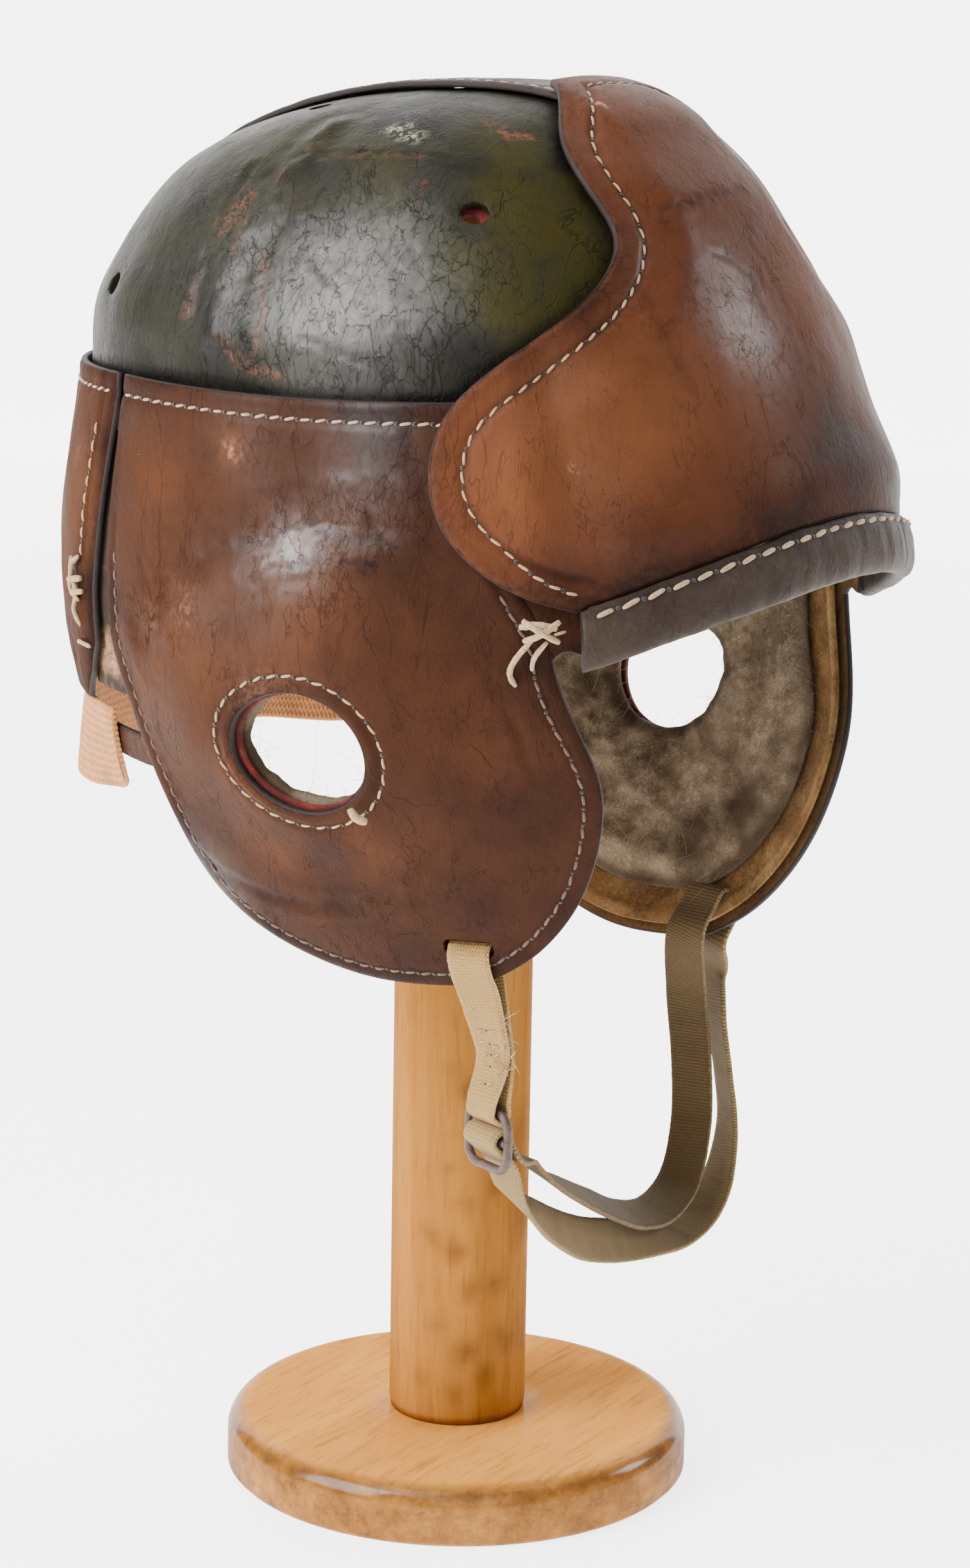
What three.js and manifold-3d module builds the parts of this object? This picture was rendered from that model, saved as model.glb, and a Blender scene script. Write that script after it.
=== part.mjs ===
// A worn leather football helmet on a plain wooden post with a round foot.
// Millimetres, Z up. The origin is the centre of the foot's underside. The helmet faces -Y,
// its wearer's right side is -X.
import * as THREE from "three";
import Module from "manifold-3d";

const wasm = await Module();
wasm.setup();

// Driving dimensions

// The head form that every leather piece lies on. "down" is the way in millimetres from the top
// of the crown along the surface, "z" the height there, "side", "front" and "back" the reach of
// the form from its axis to each side.
const formSections = [
  { down: 0, z: 380.5, side: 0, front: 0, back: 0 },
  { down: 20, z: 379.6, side: 20, front: 20, back: 22 },
  { down: 40, z: 375.6, side: 40, front: 38, back: 46 },
  { down: 60, z: 367.0, side: 59, front: 51, back: 71.5 },
  { down: 80, z: 354.2, side: 74, front: 62.8, back: 89.5 },
  { down: 100, z: 337.5, side: 84, front: 73.2, back: 100 },
  { down: 120, z: 318.8, side: 89.5, front: 83, back: 106.5 },
  { down: 140, z: 299.2, side: 91.2, front: 91.6, back: 109.6 },
  { down: 160, z: 279.2, side: 92.4, front: 99.2, back: 114 },
  { down: 180, z: 259.2, side: 92.5, front: 103.8, back: 116 },
  { down: 200, z: 239.2, side: 91.5, front: 104.8, back: 115 },
  { down: 220, z: 219.4, side: 89, front: 103, back: 110.5 },
  { down: 240, z: 200.0, side: 84, front: 99.5, back: 104 },
  { down: 260, z: 181.6, side: 77, front: 95.5, back: 97 },
  { down: 280, z: 164.0, side: 68, front: 90, back: 89 },
  { down: 300, z: 147.4, side: 58, front: 84, back: 80 },
];
const formAxisY = -6;
const frontSquareness = 2.25;
const backSquareness = 2.2;

const gap = 0.4;

const crownThickness = 2.2;
const crownEdge = 141;
const crownEdgeFront = 157;
const crownFrontAround = { none: 50, full: 42 };
const crownPuff = 2.1;
const crownPuffAt = 115;
const crownPuffReach = 13.5;
const ventRadius = 2.8;
// Vents of one side: the way round from the front in degrees, and down from the top.
const vents = [
  { around: 57.1, down: 82.5 },
  { around: 133, down: 109.4 },
  { around: 139, down: 41 },
];

const liningThickness = 2.0;
const liningClearance = 0.8;
const liningEdge = 138;

const stripHalfWidth = 16;
const stripThickness = 1.8;
const stripFrontEnd = 48;
const stripBackEnd = 143;
const stripClearance = 0.35;

// The side edge of the forehead pad from the top of the crown to the brow.
const padEdge = [
  { around: 31.6, down: 30 },
  { around: 36.8, down: 61 },
  { around: 32.8, down: 80 },
  { around: 30.8, down: 90.5 },
  { around: 34.8, down: 100.7 },
  { around: 43.8, down: 111.5 },
  { around: 56.4, down: 124.5 },
  { around: 63.2, down: 134.5 },
  { around: 66.2, down: 147 },
  { around: 65.8, down: 158.2 },
  { around: 62.1, down: 168.5 },
  { around: 56.0, down: 176 },
  { around: 49.0, down: 180 },
];
const padTopCentre = 26;
const padBrowCentre = 163.3;
const padLeather = 2.2;
const padStuffing = 3.2;
const padMargin = 9;
const padBrowLift = 3;
const padClearance = 0.8;
const overEarClearance = 1.2;
// The pad's length from brow to crown, and how much wider than its margin the stuffing rises.
const padEndReach = 150;
const padRamp = 2.4;
// Where one layer begins to climb over another: "none" is still flat, "full" is wholly on top.
const overStripAside = { none: 33, full: 20 };
const overStripDown = { none: 74, full: 54 };
const overEarAround = { none: 47, full: 55 };
const overEarDown = { none: 112, full: 126 };
const browDown = { none: 138, full: 165 };
const browAround = { none: 60, full: 40 };
const backOverStripAside = { none: 36, full: 20 };
const backOverStripDown = { none: 178, full: 150 };
const earOverCrownDown = { none: 150, full: 140 };

const rollHeight = 14.5;
const rollInnerLift = 1.2;
const rollOuterLift = 8.9;
const rollEnd = 48.4;
const browCorner = { around: 49, down: 180 };

const earLeather = 2.0;
const earBulge = 5.4;
const earBulgeCentre = { around: 88, down: 207 };
const earBulgeReach = 50;
const earBulgeFlat = 0.35;
const earFelt = 1.6;
const earWool = 5.0;
const earLayerGap = 0.85;
const earWoolGap = 1.15;
const earClearance = 0.3;
const earOverCrown = 0.6;
const earHole = { around: 86.9, down: 219, halfWidth: 16.4, halfHeight: 15.6 };
// The outline of an ear panel from its top rear corner down round the chin to the brow.
const earOutline = [
  { around: 120.7, down: 131.5 },
  { around: 121.7, down: 146 },
  { around: 121.8, down: 160.5 },
  { around: 122.2, down: 173.8 },
  { around: 122.4, down: 187 },
  { around: 122.0, down: 201 },
  { around: 119.6, down: 216 },
  { around: 117.8, down: 231.7 },
  { around: 115.8, down: 247 },
  { around: 112.0, down: 265 },
  { around: 103.2, down: 278.5 },
  { around: 90.5, down: 286.2 },
  { around: 80.2, down: 288 },
  { around: 71.5, down: 287 },
  { around: 64.8, down: 285 },
  { around: 60.0, down: 280.5 },
  { around: 54.1, down: 272 },
  { around: 48.0, down: 256 },
  { around: 45.2, down: 238 },
  { around: 45.4, down: 225 },
  { around: 47.6, down: 214.5 },
  { around: 50.6, down: 203 },
  { around: 52.2, down: 193.3 },
  { around: 53.4, down: 185 },
  { around: 57.0, down: 172 },
  { around: 58.6, down: 158 },
  { around: 58.6, down: 144 },
  { around: 57.6, down: 131.5 },
  { around: 75.0, down: 132 },
  { around: 90.0, down: 132.4 },
  { around: 105.0, down: 132.2 },
];
const earSpokes = 36;
const earLeatherRings = 5;
const earLayerRings = 3;
const feltInset = 2.5;
const woolInset = 16;
const layerTop = 144.5;
// How far the worn left flap hangs lower than the right one towards its bottom, and how many
// degrees further forward.
const leftSag = 14.5;
const leftForward = 1.3;
const sagAround = { none: 150, full: 230 };
const sagDown = { none: 150, full: 310 };

const slotAt = { around: 65.5, down: 272.5 };
const slotHeight = 5;
const feltSlotExtra = 1.6;

// The near edge of the back panel, from the seam down to its tip, then along the bottom.
const backEdge = [
  { around: 122.7, down: 131.5 },
  { around: 123.3, down: 146 },
  { around: 123.8, down: 160 },
  { around: 124.8, down: 175 },
  { around: 126.2, down: 188 },
  { around: 126.6, down: 202 },
  { around: 130.0, down: 211 },
  { around: 135.0, down: 219 },
];
const backBottomCentre = 217;
const backTopCentre = 131.5;
const backLeather = 2.2;

const elasticTop = 220.4;
const elasticHeight = 20.5;
const elasticThickness = 1.6;
const elasticEnd = 127;
const elasticFlare = 8;
const elasticClearance = 0.3;

const tabStrapWidth = 11;
const webbingThickness = 1.3;
const chinStrapWidth = 13;

const buckleCentre = new THREE.Vector3(-58.5, -46, 117);
const buckleAcross = new THREE.Vector3(-0.352, -0.936, 0).normalize();
const buckleOut = new THREE.Vector3(-0.936, 0.352, 0).normalize();
const buckleWidth = 19;
const buckleHeight = 17.5;
const buckleWire = 2.4;
const buckleCorner = 4.2;

const postDiameter = 38;
const postTop = 374.1;
const baseDiameter = 128.6;
const baseThickness = 16.5;
const baseRound = 5.5;
const baseChamfer = 1.4;

// Small helpers

const rad = THREE.MathUtils.degToRad;

function smooth(from, to, value) {
  const t = THREE.MathUtils.clamp((value - from) / (to - from), 0, 1);
  return t * t * (3 - 2 * t);
}

function climb(limits, value) {
  return smooth(limits.none, limits.full, value);
}

// Natural cubic spline through (xs, ys).
function spline(xs, ys) {
  const n = xs.length;
  const bend = new Array(n).fill(0);
  const work = new Array(n).fill(0);
  for (let i = 1; i < n - 1; i++) {
    const s = (xs[i] - xs[i - 1]) / (xs[i + 1] - xs[i - 1]);
    const p = s * bend[i - 1] + 2;
    bend[i] = (s - 1) / p;
    const slopes =
      (ys[i + 1] - ys[i]) / (xs[i + 1] - xs[i]) - (ys[i] - ys[i - 1]) / (xs[i] - xs[i - 1]);
    work[i] = ((6 * slopes) / (xs[i + 1] - xs[i - 1]) - s * work[i - 1]) / p;
  }
  for (let i = n - 2; i >= 0; i--) bend[i] = bend[i] * bend[i + 1] + work[i];
  return (x) => {
    let k = 0;
    while (k < n - 2 && x > xs[k + 1]) k++;
    const h = xs[k + 1] - xs[k];
    const a = (xs[k + 1] - x) / h;
    const b = (x - xs[k]) / h;
    const curve = ((a ** 3 - a) * bend[k] + (b ** 3 - b) * bend[k + 1]) * ((h * h) / 6);
    return a * ys[k] + b * ys[k + 1] + curve;
  };
}

const downs = formSections.map((row) => row.down);
const heightAt = spline(downs, formSections.map((row) => row.z));
const sideAt = spline(downs, formSections.map((row) => row.side));
const frontAt = spline(downs, formSections.map((row) => row.front));
const backAt = spline(downs, formSections.map((row) => row.back));

// A point of the head form: "around" in degrees, 0 at the front, 90 at the wearer's right.
function formBase(around, down) {
  const c = Math.cos(rad(around));
  const s = Math.sin(rad(around));
  const n = c > 0 ? frontSquareness : backSquareness;
  const reach = c > 0 ? frontAt(down) : backAt(down);
  const k = (Math.abs(s) ** n + Math.abs(c) ** n) ** (-1 / n);
  return new THREE.Vector3(-sideAt(down) * k * s, -reach * k * c + formAxisY, heightAt(down));
}

const probe = 0.3;
function formNormal(around, down) {
  if (down < 1) return new THREE.Vector3(0, 0, 1);
  const across = formBase(around + probe, down).sub(formBase(around - probe, down));
  const along = formBase(around, down + probe).sub(formBase(around, down - probe));
  return across.cross(along).normalize();
}

function formPoint(around, down, lift) {
  return formBase(around, down).addScaledVector(formNormal(around, down), lift);
}

// The way round in millimetres for a degree at this depth, near enough for the panels.
const millimetresPerDegree = 1.58;

// Collects faces over shared corners, leaves out faces without area, and closes the mesh.
class Shell {
  constructor() {
    this.points = [];
    this.faces = [];
    this.known = new Map();
  }
  corner(p) {
    const key = `${Math.round(p.x * 500)},${Math.round(p.y * 500)},${Math.round(p.z * 500)}`;
    if (!this.known.has(key)) {
      this.known.set(key, this.points.length);
      this.points.push(p.clone());
    }
    return this.known.get(key);
  }
  face(a, b, c) {
    if (a !== b && b !== c && a !== c) this.faces.push([a, b, c]);
  }
  quad(a, b, c, d) {
    this.face(a, b, c);
    this.face(a, c, d);
  }
  volume() {
    let sum = 0;
    for (const [a, b, c] of this.faces) {
      const cross = this.points[b].clone().cross(this.points[c]);
      sum += this.points[a].dot(cross);
    }
    return sum / 6;
  }
  geometry() {
    const inward = this.volume() < 0;
    const index = this.faces.flatMap(([a, b, c]) => (inward ? [a, c, b] : [a, b, c]));
    const flat = this.points.flatMap((p) => [p.x, p.y, p.z]);
    const g = new THREE.BufferGeometry();
    g.setAttribute("position", new THREE.Float32BufferAttribute(flat, 3));
    g.setIndex(index);
    return g;
  }
}

// A leather, felt or cloth wall: two faces over one grid, joined along the open edges.
// place(u, v, face) gives the outer point for face 1 and the inner one for face 0.
function wall(across, along, place, ringed = false) {
  const shell = new Shell();
  const grid = [0, 1].map((face) => {
    const rows = [];
    for (let j = 0; j <= along; j++) {
      const row = [];
      for (let i = 0; i <= across; i++) {
        const u = ringed ? (i % across) / across : i / across;
        row.push(shell.corner(place(u, j / along, face)));
      }
      rows.push(row);
    }
    return rows;
  });
  for (let j = 0; j < along; j++) {
    for (let i = 0; i < across; i++) {
      const [inner, outer] = grid;
      shell.quad(outer[j][i], outer[j][i + 1], outer[j + 1][i + 1], outer[j + 1][i]);
      shell.quad(inner[j][i], inner[j + 1][i], inner[j + 1][i + 1], inner[j][i + 1]);
    }
  }
  const [inner, outer] = grid;
  for (let i = 0; i < across; i++) {
    shell.quad(inner[0][i], inner[0][i + 1], outer[0][i + 1], outer[0][i]);
    shell.quad(inner[along][i + 1], inner[along][i], outer[along][i], outer[along][i + 1]);
  }
  if (!ringed) {
    for (let j = 0; j < along; j++) {
      shell.quad(inner[j + 1][0], inner[j][0], outer[j][0], outer[j + 1][0]);
      shell.quad(inner[j][across], inner[j + 1][across], outer[j + 1][across], outer[j][across]);
    }
  }
  return shell.geometry();
}

// A tube of any closed section along a line of frames. section(k, t) gives a point of the
// section, k from 0 to 1 round it, at the place t from 0 to 1 along the line.
function swept(sides, steps, section, closed = false) {
  const shell = new Shell();
  const rows = [];
  const last = closed ? steps - 1 : steps;
  for (let j = 0; j <= last; j++) {
    const row = [];
    for (let i = 0; i < sides; i++) row.push(shell.corner(section(i / sides, j / steps)));
    rows.push(row);
  }
  for (let j = 0; j < steps; j++) {
    const here = rows[j];
    const next = rows[(j + 1) % rows.length];
    for (let i = 0; i < sides; i++) {
      const k = (i + 1) % sides;
      shell.quad(here[i], here[k], next[k], next[i]);
    }
  }
  if (!closed) {
    for (const [row, turned] of [
      [rows[0], true],
      [rows[steps], false],
    ]) {
      for (let i = 1; i < sides - 1; i++) {
        if (turned) shell.face(row[0], row[i + 1], row[i]);
        else shell.face(row[0], row[i], row[i + 1]);
      }
    }
  }
  return shell.geometry();
}

function toSolid(geometry) {
  const g = geometry.index ? geometry : geometry.clone();
  return new wasm.Manifold(
    new wasm.Mesh({
      numProp: 3,
      vertProperties: new Float32Array(g.getAttribute("position").array),
      triVerts: new Uint32Array(g.index.array),
    }),
  );
}

function fromSolid(solid) {
  const mesh = solid.getMesh();
  const g = new THREE.BufferGeometry();
  const count = mesh.vertProperties.length / mesh.numProp;
  const flat = [];
  for (let i = 0; i < count; i++) {
    for (let k = 0; k < 3; k++) flat.push(mesh.vertProperties[i * mesh.numProp + k]);
  }
  g.setAttribute("position", new THREE.Float32BufferAttribute(flat, 3));
  g.setIndex(Array.from(mesh.triVerts));
  return g;
}

// A cutter placed on the form, its own Z along the form's normal.
function cutterOn(geometry, around, down) {
  const outward = formNormal(around, down);
  const acrossWay = new THREE.Vector3(outward.y, -outward.x, 0).normalize();
  const upWay = outward.clone().cross(acrossWay).normalize();
  const frame = new THREE.Matrix4().makeBasis(acrossWay, upWay, outward);
  frame.setPosition(formPoint(around, down, 0));
  const g = geometry.clone();
  g.deleteAttribute("normal");
  g.deleteAttribute("uv");
  g.applyMatrix4(frame);
  return g;
}

function mirrored(geometry) {
  geometry.scale(-1, 1, 1);
  const index = geometry.index.array;
  for (let i = 0; i < index.length; i += 3) {
    [index[i + 1], index[i + 2]] = [index[i + 2], index[i + 1]];
  }
  return geometry;
}

function weld(geometry) {
  const shell = new Shell();
  const place = geometry.getAttribute("position");
  const corners = [];
  for (let i = 0; i < place.count; i++) {
    corners.push(shell.corner(new THREE.Vector3().fromBufferAttribute(place, i)));
  }
  const index = geometry.index ? Array.from(geometry.index.array) : corners.map((_, i) => i);
  for (let i = 0; i < index.length; i += 3) {
    shell.face(corners[index[i]], corners[index[i + 1]], corners[index[i + 2]]);
  }
  return shell.geometry();
}

function cut(geometry, cutters) {
  let solid = toSolid(geometry);
  for (const cutter of cutters) solid = solid.subtract(toSolid(weld(cutter)));
  return fromSolid(solid);
}

const helmet = new THREE.Group();

function add(name, geometry, colour, roughness, metalness = 0) {
  geometry.computeVertexNormals();
  const material = new THREE.MeshStandardMaterial({ color: colour, roughness, metalness });
  const mesh = new THREE.Mesh(geometry, material);
  mesh.name = name;
  helmet.add(mesh);
  return mesh;
}

const colours = {
  crown: 0x2f302b,
  redFelt: 0x8c3230,
  strip: 0x38332c,
  brown: 0x6e3a22,
  brownDark: 0x5f3427,
  roll: 0x2f211c,
  wool: 0x7d6c55,
  flesh: 0xa2764a,
  elastic: 0xcfa78d,
  webbing: 0x8f8064,
  webbingPale: 0xc9b894,
  bronze: 0x6f5a52,
  wood: 0xd39a5c,
};

const sides = [
  { name: "right", turn: 1, sag: 0, forward: 0, slotLength: 13, tabFrom: 117 },
  { name: "left", turn: -1, sag: leftSag, forward: leftForward, slotLength: 15.4, tabFrom: 116.5 },
];

// Crown

function puffAt(down) {
  return crownPuff * Math.exp(-(((down - crownPuffAt) / crownPuffReach) ** 2));
}

function crownEdgeAt(around) {
  return crownEdge + (crownEdgeFront - crownEdge) * climb(crownFrontAround, Math.abs(around));
}

const crownSpans = 22;
const crownRows = 10;
const ventCutterLength = 14;
for (const side of sides) {
  const half = wall(crownSpans, crownRows, (u, v, face) => {
    const around = 180 * u;
    const down = v * crownEdgeAt(around);
    const lift = puffAt(down) - (face ? 0 : crownThickness);
    const p = formPoint(around, down, lift);
    p.x = (p.x - gap / 2) * side.turn;
    return p;
  });
  const cutters = vents.map((vent) => {
    const drill = new THREE.CylinderGeometry(ventRadius, ventRadius, ventCutterLength, 8);
    drill.rotateX(Math.PI / 2);
    const placed = cutterOn(drill, vent.around, vent.down);
    return side.turn < 0 ? mirrored(placed) : placed;
  });
  add(`crown_${side.name}`, cut(half, cutters), colours.crown, 0.38);
}

const liningSpans = 24;
const liningRows = 7;
const liningLift = -crownThickness - liningClearance;
add(
  "crown_lining",
  wall(
    liningSpans,
    liningRows,
    (u, v, face) => formPoint(360 * u, v * liningEdge, liningLift - (face ? 0 : liningThickness)),
    true,
  ),
  colours.redFelt,
  0.95,
);

// Top strip

// A place on the strip: "run" goes along it from the top, negative to the front,
// "aside" to the wearer's right. The reach of the form keeps its width true on the way down.
function stripPlace(run, aside, lift) {
  const far = Math.abs(run);
  const reach = far < 1 ? 1 : (run < 0 ? frontAt(far) : backAt(far)) / far;
  const fromAxis = THREE.MathUtils.radToDeg(Math.atan2(aside, far * reach));
  const around = run < 0 ? fromAxis : 180 - fromAxis;
  const down = Math.hypot(aside, run);
  return formPoint(around, down, lift + puffAt(down));
}

const stripSpans = 3;
const stripRows = 18;
add(
  "top_strip",
  wall(stripSpans, stripRows, (u, v, face) => {
    const run = -stripFrontEnd + v * (stripFrontEnd + stripBackEnd);
    const aside = (2 * u - 1) * stripHalfWidth;
    return stripPlace(run, aside, gap + stripClearance + (face ? stripThickness : 0));
  }),
  colours.strip,
  0.5,
);

// Forehead pad

function alongEdge(rows, v) {
  const steps = rows.map((row, i) => {
    if (i === 0) return 0;
    const before = rows[i - 1];
    return Math.hypot((row.around - before.around) * millimetresPerDegree, row.down - before.down);
  });
  const marks = [];
  let total = 0;
  for (const step of steps) {
    total += step;
    marks.push(total);
  }
  const at = v * total;
  let k = 0;
  while (k < rows.length - 2 && at > marks[k + 1]) k++;
  const t = (at - marks[k]) / (marks[k + 1] - marks[k]);
  return {
    around: THREE.MathUtils.lerp(rows[k].around, rows[k + 1].around, t),
    down: THREE.MathUtils.lerp(rows[k].down, rows[k + 1].down, t),
  };
}

// How far the pad is lifted by what lies under it: the strip, the ear panels, the brow roll.
function padRaise(around, down) {
  const aside = Math.abs(formBase(around, down).x);
  const onStrip = climb(overStripAside, aside) * climb(overStripDown, down);
  const onEar = climb(overEarAround, Math.abs(around)) * climb(overEarDown, down);
  const onBrow = climb(browDown, down) * climb(browAround, Math.abs(around));
  const strip = stripThickness + gap + stripClearance;
  const ear = earLeather + gap + overEarClearance;
  return strip * onStrip + ear * onEar + padBrowLift * onBrow;
}

const padSpans = 16;
const padRows = 13;
add(
  "forehead_pad",
  wall(padSpans, padRows, (u, v, face) => {
    const edge = alongEdge(padEdge, v);
    const centre = padTopCentre + v * (padBrowCentre - padTopCentre);
    const aside = 1 - 2 * u;
    const around = edge.around * aside;
    const down = centre + (edge.down - centre) * aside * aside;
    const toSide = Math.min(u, 1 - u) * 2 * rad(edge.around) * sideAt(down);
    const toEnd = Math.min(v, 1 - v) * padEndReach;
    const inside = smooth(0, padMargin * padRamp, Math.min(toSide, toEnd));
    const stuffed = padLeather + padStuffing * inside;
    const lift = gap + padClearance + puffAt(down) + padRaise(around, down);
    return formPoint(around, down, lift + (face ? stuffed : 0));
  }),
  colours.brown,
  0.42,
);

// Brow roll

function browLine(around) {
  const aside = Math.abs(around) / browCorner.around;
  return padBrowCentre + (browCorner.down - padBrowCentre) * aside * aside;
}

const rollSides = 10;
const rollSteps = 20;
const rollPower = 0.62;
add(
  "brow_roll",
  swept(rollSides, rollSteps, (k, t) => {
    const around = rollEnd * (1 - 2 * t);
    const angle = 2 * Math.PI * k;
    const c = Math.cos(angle);
    const s = Math.sin(angle);
    const thick = (rollOuterLift - rollInnerLift) / 2;
    const mid = (rollOuterLift + rollInnerLift) / 2;
    const lift = mid + thick * Math.sign(c) * Math.abs(c) ** rollPower;
    const half = rollHeight / 2;
    const sink = browLine(around) + gap + half + half * Math.sign(s) * Math.abs(s) ** rollPower;
    return formPoint(around, sink, lift);
  }),
  colours.roll,
  0.5,
);

// Ear panels

function earLift(around, down) {
  const dx = (around - earBulgeCentre.around) * millimetresPerDegree;
  const dy = down - earBulgeCentre.down;
  const away = Math.hypot(dx, dy) / earBulgeReach;
  const overCrown = earOverCrown * climb(earOverCrownDown, down);
  const bulge = earBulge * smooth(1, earBulgeFlat, away);
  return gap + earClearance + overCrown + puffAt(down) + bulge;
}

// Distance from the hole's centre to the outline along a spoke, in the flat chart of
// millimetres round and down.
const earHoleFlat = new THREE.Vector2(earHole.around * millimetresPerDegree, earHole.down);
const earOutlineFlat = earOutline.map(
  (row) => new THREE.Vector2(row.around * millimetresPerDegree, row.down).sub(earHoleFlat),
);

function outlineReach(angle) {
  const way = new THREE.Vector2(Math.cos(angle), Math.sin(angle));
  let reach = 0;
  for (let i = 0; i < earOutlineFlat.length; i++) {
    const a = earOutlineFlat[i];
    const b = earOutlineFlat[(i + 1) % earOutlineFlat.length];
    const span = b.clone().sub(a);
    const det = way.x * -span.y + way.y * span.x;
    if (Math.abs(det) < 1e-9) continue;
    const along = (a.x * -span.y + a.y * span.x) / det;
    const onEdge = (way.x * a.y - way.y * a.x) / det;
    if (along > 0 && onEdge >= -1e-9 && onEdge <= 1 + 1e-9) reach = Math.max(reach, along);
  }
  return reach;
}

function holeReach(angle) {
  const c = Math.cos(angle) / earHole.halfWidth;
  const s = Math.sin(angle) / earHole.halfHeight;
  return 1 / Math.hypot(c, s);
}

// The spokes end at even steps along the outline, the first at its top rear corner.
function spokeAngles() {
  const count = earOutlineFlat.length;
  const marks = [0];
  for (let i = 0; i < count; i++) {
    const next = earOutlineFlat[(i + 1) % count];
    marks.push(marks[i] + earOutlineFlat[i].distanceTo(next));
  }
  const angles = [];
  let k = 0;
  for (let i = 0; i < earSpokes; i++) {
    const at = (marks[count] * i) / earSpokes;
    while (at > marks[k + 1]) k++;
    const t = (at - marks[k]) / (marks[k + 1] - marks[k]);
    const p = earOutlineFlat[k].clone().lerp(earOutlineFlat[(k + 1) % count], t);
    angles.push(Math.atan2(p.y, p.x));
  }
  return angles;
}

const spokes = spokeAngles();

// Where a place of the panel comes to lie once the flap has sagged and swung forward.
function hung(around, down, side) {
  return {
    around: around - side.forward * climb(sagAround, down),
    down: down + side.sag * climb(sagDown, down),
  };
}

// One layer of an ear panel from the ear hole out to its outline.
function earLayer(rings, inset, top, outerDrop, thickness, side) {
  return wall(
    earSpokes,
    rings,
    (u, v, face) => {
      const angle = spokes[Math.round(u * earSpokes) % earSpokes];
      const from = holeReach(angle);
      let to = outlineReach(angle) - inset;
      const rise = -Math.sin(angle);
      if (top && rise > 0) to = Math.min(to, (earHole.down - top) / rise);
      const reach = from + (to - from) * v;
      const around = (earHoleFlat.x + reach * Math.cos(angle)) / millimetresPerDegree;
      const down = earHoleFlat.y + reach * Math.sin(angle);
      const lift = earLift(around, down) - outerDrop + (face ? thickness : 0);
      const place = hung(around, down, side);
      const p = formPoint(place.around, place.down, lift);
      p.x *= side.turn;
      return p;
    },
    true,
  );
}

const slotCutterDepth = 30;
for (const side of sides) {
  const slotPlace = hung(slotAt.around, slotAt.down, side);
  const [slot, feltSlot] = [0, feltSlotExtra].map((extra) => {
    const block = new THREE.BoxGeometry(side.slotLength + extra, slotHeight + extra, slotCutterDepth);
    const placed = cutterOn(block, slotPlace.around, slotPlace.down);
    return side.turn < 0 ? mirrored(placed) : placed;
  });
  const leather = earLayer(earLeatherRings, 0, 0, 0, earLeather, side);
  const feltDrop = earLayerGap + earFelt;
  const felt = earLayer(earLayerRings, feltInset, layerTop, feltDrop, earFelt, side);
  const woolDrop = feltDrop + earWoolGap + earWool;
  const wool = earLayer(earLayerRings, woolInset, layerTop, woolDrop, earWool, side);
  add(`ear_panel_${side.name}`, cut(leather, [slot]), colours.brownDark, 0.42);
  add(`ear_felt_${side.name}`, cut(felt, [feltSlot]), colours.redFelt, 0.95);
  add(`ear_wool_${side.name}`, wool, colours.wool, 0.98);
}

// Back panel, tongues, neck elastic

function backLift(around, down) {
  const aside = Math.abs(formBase(around, down).x);
  const onStrip = climb(backOverStripAside, aside) * climb(backOverStripDown, down);
  return gap + padClearance + puffAt(down) + (stripThickness + gap) * onStrip;
}

const backSpans = 14;
const backRows = 8;
add(
  "back_panel",
  wall(backSpans, backRows, (u, v, face) => {
    const edge = alongEdge(backEdge, v);
    const aside = 2 * u - 1;
    const around = 180 + (180 - edge.around) * aside;
    const centre = backTopCentre + v * (backBottomCentre - backTopCentre);
    const down = centre + (edge.down - centre) * aside * aside;
    return formPoint(around, down, backLift(around, down) + (face ? backLeather : 0));
  }),
  colours.brown,
  0.45,
);

const tongue = { from: 121.4, to: 131.5, top: 183, bottom: 209, lift: -1.3, thickness: 1.6 };
for (const side of sides) {
  add(
    `side_tongue_${side.name}`,
    wall(4, 4, (u, v, face) => {
      const around = tongue.from + (tongue.to - tongue.from) * u;
      const down = tongue.top + (tongue.bottom - tongue.top) * v;
      const p = formPoint(around, down, tongue.lift + (face ? tongue.thickness : 0));
      p.x *= side.turn;
      return p;
    }),
    colours.flesh,
    0.8,
  );
}

add(
  "neck_elastic",
  wall(14, 3, (u, v, face) => {
    const aside = 2 * u - 1;
    const around = 180 + (180 - elasticEnd) * aside;
    const down = elasticTop + elasticHeight * v;
    const flare = elasticFlare * smooth(1, 0.55, Math.abs(aside)) * v;
    const lift = gap + elasticClearance + flare;
    return formPoint(around, down, lift + (face ? elasticThickness : 0));
  }),
  colours.elastic,
  0.9,
);

// The tab is tucked under the ear panel's edge in front and under the elastic behind.
const tab = { to: 131, top: 226, bottom: 234, thickness: 1.5 };
for (const side of sides) {
  add(
    `elastic_tab_${side.name}`,
    wall(4, 2, (u, v, face) => {
      const around = side.tabFrom + (tab.to - side.tabFrom) * u;
      const down = tab.top + (tab.bottom - tab.top) * v;
      const p = formPoint(around, down, gap - (face ? 0 : tab.thickness));
      p.x *= side.turn;
      return p;
    }),
    colours.brownDark,
    0.6,
  );
}

// Straps and slider

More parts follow.
